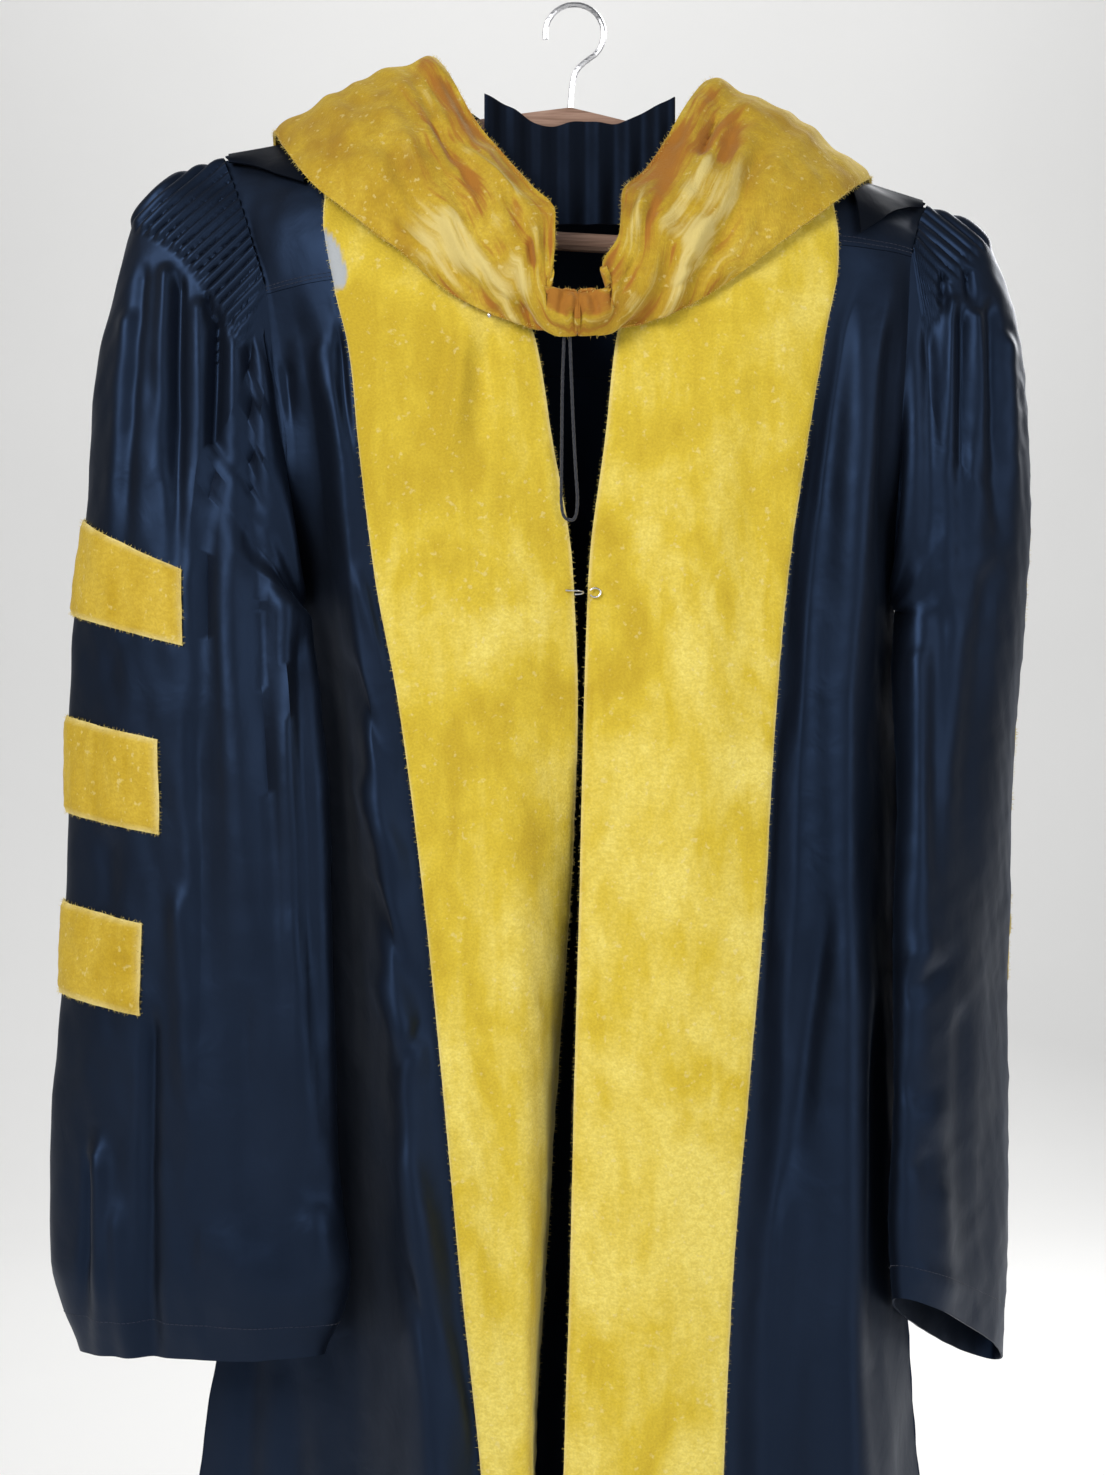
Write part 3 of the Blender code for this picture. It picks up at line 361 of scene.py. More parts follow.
SHADE_AND_HIGHLIGHT_RIGHT_MARKS = (
    (640, 190, 480, 580, 18, 44, -1), (780, 90, 600, 240, 10, 46, -0.6), (865, 180, 760, 440, 12, 42, -1),
    (700, 270, 670, 420, 4, 26, -0.9), (490, 540, 480, 720, 4, 32, -0.7),
    (345, 580, 335, 780, 4, 50, -0.6), (1180, 590, 880, 770, -14, 20, -0.4),
    (30, 1000, 290, 1000, -20, 44, -1.2), (640, 300, 560, 480, 8, 30, -0.4),
    (730, 360, 580, 620, -10, 46, 1), (620, 590, 500, 760, -8, 72, 1.1),
    (880, 390, 700, 700, -12, 56, 0.7), (720, 680, 600, 820, -6, 66, 1.1),
    (760, 780, 420, 980, -12, 54, 1.1), (440, 620, 330, 900, 8, 36, 0.7),
    (400, 960, 340, 1050, 0, 50, 0.7), (70, 960, 250, 930, -8, 22, 1.2), (820, 100, 740, 160, 0, 40, 0.5),
)

# Creases below and behind what the photograph shows: from x, z to x, z, then as the marks, in millimetres
FRONT_LEFT_LOW_CREASES = (
    (-88, -980, -64, -1170, 0, 9, -4), (-104, -1010, -84, -1240, 0, 12, 4),
    (-190, -900, -200, -1330, 0, 14, -6), (-222, -800, -240, -1330, 0, 12, -6),
)
FRONT_RIGHT_LOW_CREASES = (
    (160, -980, 150, -1330, 0, 12, -5), (214, -960, 226, -1330, 0, 12, -5),
)
SLEEVE_BACK_CREASES = (
    (218, -250, 222, -420, 2, 6, -6), (234, -236, 240, -400, 0, 8, 5),
    (250, -228, 254, -470, 2, 6, -7), (268, -220, 272, -420, 0, 8, 5),
    (284, -230, 290, -460, 2, 6, -5), (230, -440, 236, -640, 3, 9, -5),
    (262, -470, 258, -690, 3, 10, 5), (286, -520, 292, -760, 2, 8, -5),
    (246, -650, 250, -850, 2, 10, -5), (300, -700, 306, -880, 2, 9, 4),
    (270, -740, 274, -890, 0, 9, -4),
)
HOOD_BACK_CREASES = (
    (-150, -110, -140, -260, 3, 8, -4), (-120, -130, -110, -320, 3, 9, 4),
    (-160, -230, -100, -430, 5, 8, -4), (-70, -330, -20, -520, 4, 8, -4),
    (150, -130, 140, -280, 3, 8, -4), (122, -140, 104, -330, 3, 9, 4),
    (156, -240, 96, -440, 5, 8, -4), (72, -340, 24, -520, 4, 8, -4),
)
SHELL_CREASES = (
    (-150, -300, -120, -700, 6, 14, -5), (-90, -560, -70, -880, 4, 12, 5),
    (-30, -640, -24, -900, 0, 12, -5), (40, -620, 30, -900, 2, 14, 4),
    (150, -310, 118, -720, 6, 14, -5), (92, -570, 74, -880, 4, 10, -4),
)
HOOD_V_CREASES = (
    (0, -206, 0, -238, 0, 2, -2.5), (-9, -210, -12, -230, 0, 2.5, -2.5),
    (9, -212, 14, -229, 0, 2.5, -2.5), (5, -209, 7, -227, 0, 3, 2.2), (-4, -209, -5, -226, 0, 3, 2),
    (-14, -213, 15, -212, -2, 4, -3.5), (-14, -206, 17, -204, -1, 4, 3.5),
)

# Bare patch on the left facing's outer edge: level and how far in it reaches
BARE_PATCH = (
    (-163, -163), (-167, -158), (-174, -154), (-182, -151), (-190, -149), (-198, -150), (-205, -156),
)

# How far from its middle the hood's band is worn and carries painted shade and highlights, and over how far
# that fades, then its long folds' height, slant, width and seed
WORN_AND_SHADED_REACH = 132.0
WORN_AND_SHADED_FADE = 40.0
HOOD_FOLD = 2.1
FOLD_SLANT = 0.13
FOLD_WIDTH = 21
FOLD_SEED = 83

# Where the band's front passes into its back, the least share of its folds outside its worn and painted
# part, its rolled edges, its small waves' lengths, seeds and shares, how far from the V its folds begin, how
# calm they are at its edges, and the height of a crease that takes the full painted shade or highlight
FRONT_ENDS = 20
FRONT_FADE = 30
UNWORN_FOLDS = 0.35
BAND_ROLL = (0.45, 0.55, 0.05)
BAND_WAVES = (34, 61, 14, 62)
BAND_WAVE_SHARES = (0.6, 0.8)
V_JOIN = 0.12
BAND_CALM = (0.04, 0.35)
FULL_CREASE = 4

# Creases: over what share of its length each starts and ends, and how its width grows from top to bottom
CREASE_FADE = (0.24, 0.5)
HOOD_CREASE_FADE = (0.3, 0.35)
CREASE_GROWTH = (0.75, 0.5)
SHARP_ANGLE = 62

# Small waves of the cloth: how many make them up, how much their length varies, and the share of short ones
RIPPLE_WAVES = 7
RIPPLE_SPREAD = (0.7, 1.6)
SHORT_WAVES = 0.4

# Their squeeze upright, long and short lengths, and seeds; on a sleeve they grow over its sewn rings
FRONT_WAVES = (0.4, 62, 24, 3, 5)
BACK_WAVES = (0.3, 70, 26, 21, 22)
SEWN_RINGS = 3
SLEEVE_WAVES = {"left": (0.35, 58, 22, 32, 42), "right": (0.35, 58, 22, 30, 40)}

# A front panel's creases begin this far from the facing, it is calmer than the rest, and past this place
# across it lies still on its side seam
CLEAR_OF_FACING = 0.06
FRONT_STILLNESS = 0.6
SIDE_STILL = 0.93

# Facings: how thin their rolled edges are and over what share of their width, their pile's unevenness, and
# how ragged, soft and deep the bare patch is
FACING_ROLL = (0.55, 0.035)
PILE_WAVES = (0.35, 15, 7)
PATCH_WAVES = (0.9, 7, 11)
PATCH_SOFT = (1.6, 3)
PATCH_DEPTH = 1.5

# Bars: how thin they are at their edges, how much thicker inside, and over how many millimetres
BAR_ROLL = (0.45, 0.75, 5)
BAR_WAVES = (0.3, 13, 50)

# How wide the velvet's edge marks are, which carry its fibres and, on facings and bars, a painted highlight:
# on facings and hood as a share of their width, on bars in millimetres
FACING_RIM = 0.012
HOOD_RIM = 0.015
BAR_RIM = 2.5

# The sleeves' creases start abruptly, die away slowly and run on past their marked ends; the front ones
# pass into the back ones where the cloth turns away
SLEEVE_CREASE_ENDS = (0.07, 0.6, 1.45)
TURNED_AWAY = (0.15, 0.5)

# How far each sleeve's front overhangs its seam with the body, inwards and forwards
SLEEVE_LOBES = {"left": (27.0, 22.0), "right": (10.0, 9.0)}
LOBE_FROM = -0.06
LOBE_RISE = 0.1
LOBE_TO = 0.27
LOBE_FALL = 0.16
LOBE_END = 6.0
LOBE_FADE = 3.2
LOBE_START = 0.8

# Pleats at the sleeves' tops, which run down outwards and end unevenly
PLEAT_SPACING = 6.6
PLEAT_UNEVEN = 5.0
PLEAT_END = 321.0
PLEAT_FADE = 9.0
PLEAT_JITTER = (12.9, 1.7)
PLEAT_ROUND = 0.75
PLEAT_BACK_END = 3.6
PLEAT_BACK_FADE = 1.4
PLEAT_SHARE = {"left": 1.0, "right": 0.55}

# Over what part of the sleeve's round the front pleats start and end, and the back ones
PLEAT_FRONT = (0.02, 0.52, 0.04)
PLEAT_REAR = (0.03, 0.02)

# How fine each piece's mesh is, and how evenly a front panel's rows are spread from its seam to its hem
YOKE_ROWS = 36
PANEL_ROWS = 195
ROW_SPREAD = (0.55, 0.45)
PANEL_ACROSS = np.concatenate([np.linspace(0, FACING_EDGE, 14), np.linspace(FACING_EDGE, 1, 70)[1:]])
FACING_ACROSS = 54
FACING_ROWS = 240
BACK_ROWS = 150
BACK_FOLD_STEPS = 12
SLEEVE_PLACES = (150, 50, 30)
SLEEVE_RINGS = np.concatenate([np.linspace(0, 4, 96), np.linspace(4, 13, 78)[1:]])
BAR_ACROSS = 64
BAR_ROWS = 30
BAR_RING = 200
BAND_ACROSS = 70
BAND_ROWS = (60, 180)
SHELL_ACROSS = 101
SHELL_ROWS = (30, 80)
FLAP_ACROSS = 44
FLAP_ROWS = 22
NECK_ACROSS = 141
NECK_ROWS = 40
CORD_RINGS = 320
CORD_SIDES = 12

# Stitch rows: how far above the yoke's seam and proud of the cloth, their ends across the front, how many
# points lead each kind, and the sleeve's rings at its hem
STITCH_ROWS = (2.2, 4.6)
STITCH_PROUD = 0.15
STITCHED = (FACING_EDGE + 0.01, 0.985)
STITCH_POINTS = (90, 260)
HEM_RINGS = (12.4, 12.9, 4)

# How far the velvet's fibres lean over, as a share of their length
FIBRE_LEAN = 0.7

# Length of one twist of the cord, and how deep its groove is as a share of its radius
CORD_TWIST = 9.0
CORD_GROOVE = 0.2

# Colours of worn velvet, and of its painted shade, highlights and glints
HOOD_CREAM_WEAR_AND_HIGHLIGHT = (0.68, 0.55, 0.21)
HOOD_BROWN_WEAR_AND_SHADE = (0.36, 0.135, 0.022)
BARE_GREY = (0.4, 0.42, 0.44)
VELVET_HIGHLIGHT = (0.8, 0.68, 0.3)
VELVET_PILE_SHADE = (0.2, 0.1, 0.01)

# Camera: millimetres of sensor, the photograph's middle and height in pixels, and the rest in metres
SENSOR = 36.0
PHOTO_MIDDLE = (553, 737)
PHOTO_HEIGHT = 1475
PHOTO_PIXEL = 0.000655
CAMERA_DISTANCE = 1.7
CAMERA_X = -0.0157
CAMERA_Z = -0.498
CAMERA_CLIP = (0.05, 60)
GOWN_FRONT = -0.07

# The depths of the cloth that the marks lie on, in millimetres; the hood's depth goes by its level
MARK_DEPTHS = {"sleeve_left": -50, "sleeve_right": -10, "sleeve_right_low": -40, "front_left": -72,
               "front_right": -66, "facing": -76}
HOOD_DEPTH = -80
HOOD_DEPTHS = ((-140, -90), (-100, -70), (-70, -40), (math.inf, -15))

# The magnified crops that the hood's marks were read in: their corners and how many of their pixels make one
HOOD_CROP_LEFT = (260, 40)
HOOD_CROP_RIGHT = (540, 60)
CROP_SCALE = 4.167

# How far the floor reaches to each side, how many steps its curve has, the room light's colour and the level
# that the lights point at
STAGE_REACH = 14.0
SWEEP_STEPS = 24
ROOM_COLOUR = (0.96, 0.98, 1.0, 1)
LIGHT_AIM = -0.6

# Nodes of the part that are shown as they are, and their finishes
CARRIED_OVER = {
    "hanger_arms": "pale wood",
    "hanger_bar": "pale wood",
    "hanger_hook": "bright steel",
    "closure_hook": "bright steel",
    "closure_eye": "bright steel",
    "pin_head": "bright steel",
}


def through(keys, values, at):
    """Smooth curves through table points, one for each column, which never swing past them."""
    keys = np.asarray(keys, float)
    values = np.asarray(values, float)
    flat = values.reshape(len(keys), -1)
    step = np.diff(keys)[:, None]
    slope = np.diff(flat, axis=0) / step
    tangent = np.zeros_like(flat)
    tangent[0] = slope[0]
    tangent[-1] = slope[-1]
    before = 2 * step[1:] + step[:-1]
    after = step[1:] + 2 * step[:-1]
    turns = slope[:-1] * slope[1:] <= 0
    near = np.where(turns, 1, slope[:-1])
    far = np.where(turns, 1, slope[1:])
    tangent[1:-1] = np.where(turns, 0, (before + after) / (before / near + after / far))
    at = np.clip(np.asarray(at, float), keys[0], keys[-1])
    i = np.clip(np.searchsorted(keys, at) - 1, 0, len(keys) - 2)
    t = ((at - keys[i]) / step[i, 0])[:, None]
    start = (1 + 2 * t) * (1 - t) ** 2 * flat[i] + t * (1 - t) ** 2 * step[i] * tangent[i]
    end = t * t * (3 - 2 * t) * flat[i + 1] + t * t * (t - 1) * step[i] * tangent[i + 1]
    return (start + end).reshape((len(at),) + values.shape[1:])


def smooth(value):
    """Nought below nought, one above one, and an even curve between."""
    value = np.clip(value, 0, 1)
    return value * value * (3 - 2 * value)


def seen(column, row, depth):
    """The x and z in millimetres of a photo pixel on cloth at a depth."""
    pixel = PHOTO_PIXEL / MM * (1 + (depth * MM - GOWN_FRONT) / CAMERA_DISTANCE)
    x = CAMERA_X / MM + (column - PHOTO_MIDDLE[0]) * pixel
    return x, CAMERA_Z / MM + (PHOTO_MIDDLE[1] - row) * pixel


def seen_creases(marks, depth):
    """Creases in whole millimetres from marks in the photograph's pixels."""
    made = []
    for x0, y0, x1, y1, bow, width, height in marks:
        ends = (*seen(x0, y0, depth), *seen(x1, y1, depth))
        made.append((*(round(value) for value in ends), bow, width, height))
    return tuple(made)


def seen_on_hood(marks, corner):
    """The same from marks in a crop's pixels, on the hood's sloping band."""
    made = []
    for x0, y0, x1, y1, bow, width, height in marks:
        ends = []
        for x, y in ((x0, y0), (x1, y1)):
            pixel = (corner[0] + x / CROP_SCALE, corner[1] + y / CROP_SCALE)
            level = seen(*pixel, HOOD_DEPTH)[1]
            depth = next(depth for below, depth in HOOD_DEPTHS if level < below)
            ends += [round(value) for value in seen(*pixel, depth)]
        size = PHOTO_PIXEL / MM / CROP_SCALE
        made.append((*ends, round(bow * size, 1), round(width * size, 1), height))
    return tuple(made)


CREASES = {name: seen_creases(marks, MARK_DEPTHS[name]) for name, marks in (
    ("sleeve_left", SLEEVE_LEFT_MARKS), ("sleeve_right", SLEEVE_RIGHT_MARKS),
    ("sleeve_right_low", SLEEVE_RIGHT_LOW_MARKS), ("front_left", FRONT_LEFT_MARKS),
    ("front_right", FRONT_RIGHT_MARKS), ("facing", FACING_MARKS))}
CREASES["sleeve_right"] += CREASES["sleeve_right_low"]
CREASES["front_left"] += FRONT_LEFT_LOW_CREASES
CREASES["front_right"] += FRONT_RIGHT_LOW_CREASES
HOOD_CREASES, HOOD_SHADE_AND_HIGHLIGHT = (
    seen_on_hood(left, HOOD_CROP_LEFT) + seen_on_hood(right, HOOD_CROP_RIGHT)
    for left, right in ((HOOD_LEFT_MARKS, HOOD_RIGHT_MARKS), (SHADE_AND_HIGHLIGHT_LEFT_MARKS, SHADE_AND_HIGHLIGHT_RIGHT_MARKS)))
HOOD_CREASES += HOOD_V_CREASES


def outwards(grid, sign, ring=False):
    """Unit normals of a grid, on its outer side."""
    if ring:
        across = np.roll(grid, -1, axis=1) - np.roll(grid, 1, axis=1)
    else:
        across = np.gradient(grid, axis=1)
    normal = np.cross(across, np.gradient(grid, axis=0)) * sign
    return normal / np.maximum(np.linalg.norm(normal, axis=2, keepdims=True), 1e-9)


def ripple(points, length, seed):
    """Smooth unevenness between about -1 and 1, in waves of about the given length."""
    chance = np.random.default_rng(seed)
    total = np.zeros(points.shape[:-1])
    for _ in range(RIPPLE_WAVES):
        way = chance.normal(size=3)
        way = way / np.linalg.norm(way) * 2 * math.pi / (length * chance.uniform(*RIPPLE_SPREAD))
        total += np.sin(points @ way + chance.uniform(0, 2 * math.pi))
    return total / math.sqrt(RIPPLE_WAVES)


def waves(grid, squeeze, long, short, seed, short_seed):
    """Uneven cloth: long waves that stand upright, with short ones on them."""
    return ripple(grid * (1, 1, squeeze), long, seed) + SHORT_WAVES * ripple(grid, short, short_seed)


def crease_height(points, creases, start=CREASE_FADE[0], end=CREASE_FADE[1], run=1.0):
    """How far the creases raise or sink each point. They run on past their marked ends and widen."""
    x, z = points[..., 0], points[..., 2]
    height = np.zeros(x.shape)
    for x0, z0, x1, z1, bow, width, rise in creases:
        run_x, run_z = (x1 - x0) * run, (z1 - z0) * run
        length = math.hypot(run_x, run_z)
        along = ((x - x0) * run_x + (z - z0) * run_z) / length ** 2
        off = ((x - x0) * run_z - (z - z0) * run_x) / length - bow * 4 * along * (1 - along)
        spread = off / (width * (CREASE_GROWTH[0] + CREASE_GROWTH[1] * np.clip(along, 0, 1)))
        fade = smooth(along / start) * smooth((1 - along) / end)
        height += rise * fade * np.exp(-spread * spread)
    return height


def front_points(rows, across, levels):
    """A front panel's grid: one row for each level, one point for each place across."""
    rows = np.array(rows, float)
    found = through(-rows[:, 1], rows, -np.asarray(levels))
    x = through(FRONT_KNOTS, found[:, 2::2].T, across).T
    y = through(FRONT_KNOTS, found[:, 3::2].T, across).T
    z = found[:, :1] + (found[:, 1:2] - found[:, :1]) * across[None]
    return np.stack([x, y, z], axis=-1)


def back_rounding(across):
    """Place across from -1 to 1, close together at the sides, and the share of the depth there."""
    place = np.sin(np.pi * (across - 0.5))
    share = (1 - np.abs(place) ** BACK_ROUND) ** (1 / BACK_ROUND)
    return place, share


def hung_points(found, across):
    """A grid from rows of z left, z right, left x, left y, right x, right y and depth."""
    place, share = back_rounding(across)
    half = (place + 1) / 2
    z_left, z_right, left_x, left_y, right_x, right_y = found[:, :6].T[:, :, None]
    side = left_y + (right_y - left_y) * half
    y = side + (found[:, 6:7] - side) * share
    return np.stack([left_x + (right_x - left_x) * half, y, z_left + (z_right - z_left) * half], axis=-1)


def shoulder_line(across, rise):
    """Where the back meets the shoulders and the neck, from the left side to the right."""
    place, _ = back_rounding(across)
    left = dict(zip(FRONT_COLUMNS, FRONT_LEFT[0]))
    right = dict(zip(FRONT_COLUMNS, FRONT_RIGHT[0]))
    x = left["side_x"] + (right["side_x"] - left["side_x"]) * (place + 1) / 2
    z = np.interp(x, (left["side_x"], left["edge_x"], right["edge_x"], right["side_x"]),
                  (left["z_side"], left["z_edge"], right["z_edge"], right["z_side"]))
    inside = np.clip(1 - (x / right["edge_x"]) ** 2, 0, 1)
    return np.stack([x, NECK_HOLLOW * np.sqrt(inside), z - NECK_DROP * inside + rise], axis=-1)


def arched(top, bottom, steps):
    """Rows from a top line over a quarter round to a bottom line."""
    turn = steps[:, None] * np.pi / 2
    level = top[None, :, 2] + (bottom - top)[None, :, 2] * (1 - np.cos(turn))
    plan = top[None, :, :2] + (bottom - top)[None, :, :2] * np.sin(turn)[:, :, None]
    return np.concatenate([plan, level[:, :, None]], axis=2)


def face_corners(rows, across):
    """Row and column of each corner of a grid's faces."""
    i, j = np.meshgrid(np.arange(rows - 1), np.arange(across), indexing="ij")
    corners = [np.stack([i + a, j + b], axis=-1) for a, b in ((0, 0), (0, 1), (1, 1), (1, 0))]
    return np.stack(corners, axis=2).reshape(-1, 4, 2)


def wall(name, outer, sign, thick, finish, ring=False, marks=None):
    """A closed thin wall with the given outer grid, a UV map in metres and its marks as attributes."""
    rows, columns = outer.shape[:2]
    inner = outer - outwards(outer, sign, ring) * thick
    around = columns if ring else columns - 1
    closed = np.concatenate([outer, outer[:, :1]], axis=1) if ring else outer
    across = np.linalg.norm(np.diff(closed, axis=1), axis=2)
    down = np.linalg.norm(np.diff(closed, axis=0), axis=2)
    u = np.concatenate([np.zeros((rows, 1)), np.cumsum(across, 1)], 1)
    v = np.concatenate([np.zeros((1, around + 1)), np.cumsum(down, 0)])
    faces = face_corners(rows, around)
    layers = [np.concatenate([faces, np.zeros(faces.shape[:2] + (1,), int)], axis=2)]
    layers.append(np.concatenate([faces[:, ::-1], np.ones(faces.shape[:2] + (1,), int)], axis=2))
    edges = [[(0, j + 1, 0), (0, j, 0), (0, j, 1), (0, j + 1, 1)] for j in range(around)]
    last = rows - 1
    edges += [[(last, j, 0), (last, j + 1, 0), (last, j + 1, 1), (last, j, 1)] for j in range(around)]
    if not ring:
        for side, low, high in ((0, 0, 1), (around, 1, 0)):
            edges += [[(i + low, side, 0), (i + high, side, 0), (i + high, side, 1), (i + low, side, 1)]
                      for i in range(last)]
    layers.append(np.array(edges))
    corners = np.concatenate(layers)
    if sign < 0:
        corners = corners[:, ::-1]
    row, column, layer = corners.reshape(-1, 3).T
    index = layer * rows * columns + row * columns + column % columns
    mesh = bpy.data.meshes.new(name)
    points = np.concatenate([outer.reshape(-1, 3), inner.reshape(-1, 3)]) * MM
    mesh.from_pydata(points.tolist(), [], index.reshape(-1, 4).tolist())
    weave = mesh.uv_layers.new(name="Weave")
    weave.data.foreach_set("uv", (np.stack([u[row, column], v[row, column]], axis=-1) * MM).ravel())
    for mark, values in (marks or {}).items():
        below = 0 * values if mark == "edge" else values
        held = mesh.attributes.new(mark, "FLOAT", "POINT")
        held.data.foreach_set("value", np.concatenate([values.ravel(), below.ravel()]).astype(np.float32))
    mesh.shade_smooth()
    mesh.set_sharp_from_angle(angle=math.radians(SHARP_ANGLE))
    mesh.materials.append(finish)
    made = bpy.data.objects.new(name, mesh)
    bpy.context.scene.collection.objects.link(made)
    made["flat"] = [float(u[:, -1].max()) * MM, float(v[-1].max()) * MM, grid_area(closed) * MM * MM]
    return made


def grid_area(grid):
    """The area of a grid's faces."""
    first = np.cross(grid[:-1, 1:] - grid[:-1, :-1], grid[1:, :-1] - grid[:-1, :-1])
    second = np.cross(grid[1:, :-1] - grid[1:, 1:], grid[:-1, 1:] - grid[1:, 1:])
    return float(np.linalg.norm(first, axis=2).sum() + np.linalg.norm(second, axis=2).sum()) / 2


def keep(piece, slot, *nodes):
    """Hands a piece to the frame: it stands for its nodes, which are hidden, and it hangs from the body; its
    slot is not used.
    """
    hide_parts(*nodes)
    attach(piece, BODY)
    return piece


def keep_sheet(piece, slot, node, held="hung", rests_on=("hanger_arms",)):
    """Hands over a cloth piece and drops the size it was cut to."""
    keep(piece, slot, node)
    del piece["flat"]
    return piece


def add_node(tree, kind, inputs, **settings):
    """A new node with its own settings, whose inputs are plain values or other nodes' sockets."""
    node = tree.nodes.new(kind)
    for name, value in settings.items():
        setattr(node, name, value)
    feed(tree, node, inputs)
    return node


def feed(tree, node, inputs):
    """Gives a node's inputs their plain values, or links them to other nodes' sockets."""
    for socket, value in inputs.items():
        if isinstance(value, bpy.types.NodeSocket):
            tree.links.new(value, node.inputs[socket])
        else:
            node.inputs[socket].default_value = value


class Finish:
    """A material being made: a Principled shader and short ways to add nodes before it."""

    def __init__(self, name, **constants):
        self.material = bpy.data.materials.new(name)
        self.material.use_nodes = True
        self.tree = self.material.node_tree
        self.shader = self.tree.nodes["Principled BSDF"]
        for socket, value in constants.items():
            self.shader.inputs[socket.replace("_", " ")].default_value = value
        place = self.tree.nodes.new("ShaderNodeTexCoord")
        self.object = place.outputs["Object"]
        self.weave = place.outputs["UV"]

    def add(self, kind, inputs, **settings):
        """A node of this finish."""
        return add_node(self.tree, kind, inputs, **settings)

    def noise(self, place, scale, detail=2.0, distortion=0.0, stretch=None):
        """Noise at a place, which may be stretched first."""
        if stretch is not None:
            place = self.add("ShaderNodeMapping", {"Vector": place, "Scale": stretch}).outputs["Vector"]
        inputs = {"Vector": place, "Scale": scale, "Detail": detail, "Distortion": distortion}
        return self.add("ShaderNodeTexNoise", inputs).outputs["Fac"]

    def mark(self, name):
        """A piece's own mark, from its attribute."""
        return self.add("ShaderNodeAttribute", {}, attribute_name=name).outputs["Fac"]

    def ranged(self, value, low, high, to_low=0.0, to_high=1.0):
        """A value from one range to another, with soft ends."""
        inputs = {"Value": value, "From Min": low, "From Max": high, "To Min": to_low, "To Max": to_high}
        return self.add("ShaderNodeMapRange", inputs, interpolation_type="SMOOTHSTEP").outputs["Result"]

    def maths(self, operation, first, second):
        """One sum or product."""
        return self.add("ShaderNodeMath", {0: first, 1: second}, operation=operation).outputs["Value"]

    def total(self, *shares):
        """The sum of values, each times its share."""
        made = None
        for value, share in shares:
            part = self.maths("MULTIPLY", value, share)
            made = part if made is None else self.maths("ADD", made, part)
        return made

    def blend(self, share, first, second):
        """A mix of two colours."""
        return self.add("ShaderNodeMix", {0: share, 6: first, 7: second}, data_type="RGBA").outputs[2]

    def ramp(self, value, *stops):
        """A colour for each value, from stops of position and colour."""
        node = self.add("ShaderNodeValToRGB", {"Fac": value})
        elements = node.color_ramp.elements
        while len(elements) < len(stops):
            elements.new(0.5)
        for element, (position, colour) in zip(elements, stops):
            element.position = position
            element.color = (*colour, 1)
        return node.outputs["Color"]

    def bump(self, height, distance, strength, *below):
        """A normal that follows small heights, over an earlier one where it is given."""
        inputs = {"Height": height, "Distance": distance, "Strength": strength}
        inputs.update(("Normal", normal) for normal in below)
        return self.add("ShaderNodeBump", inputs).outputs["Normal"]

    def done(self, colour, roughness, normal=None):
        """Hands the colour, roughness and normal to the shader."""
        inputs = {"Base Color": colour, "Roughness": roughness}
        if normal is not None:
            inputs["Normal"] = normal
        feed(self.tree, self.shader, inputs)
        return self.material


def satin_finish(name, dark, light, sheen, gloss, rough):
    """Satin: fine slubs along its warp, a soft sheen, small crumples and a little wear."""
    made = Finish(name, Sheen_Weight=sheen, Sheen_Roughness=0.35, Sheen_Tint=(0.35, 0.55, 1.0, 1),
                  Specular_IOR_Level=gloss, Specular_Tint=(0.26, 0.48, 1.0, 1))
    slubs = made.noise(made.weave, 1.0, 3.0, stretch=(900, 60, 1))
    crumples = made.noise(made.object, 34.0, 3.0, 0.4)
    tone = made.noise(made.object, 7.0, 3.0)
    colour = made.ramp(made.total((tone, 0.8), (slubs, 0.2)), (0.25, dark), (0.75, light))
    roughness = made.ranged(made.noise(made.object, 16.0), 0.3, 0.7, rough - 0.05, rough + 0.06)
    normal = made.bump(crumples, 0.0016, 0.55)
    return made.done(colour, roughness, made.bump(slubs, 0.00005, 0.5, normal))


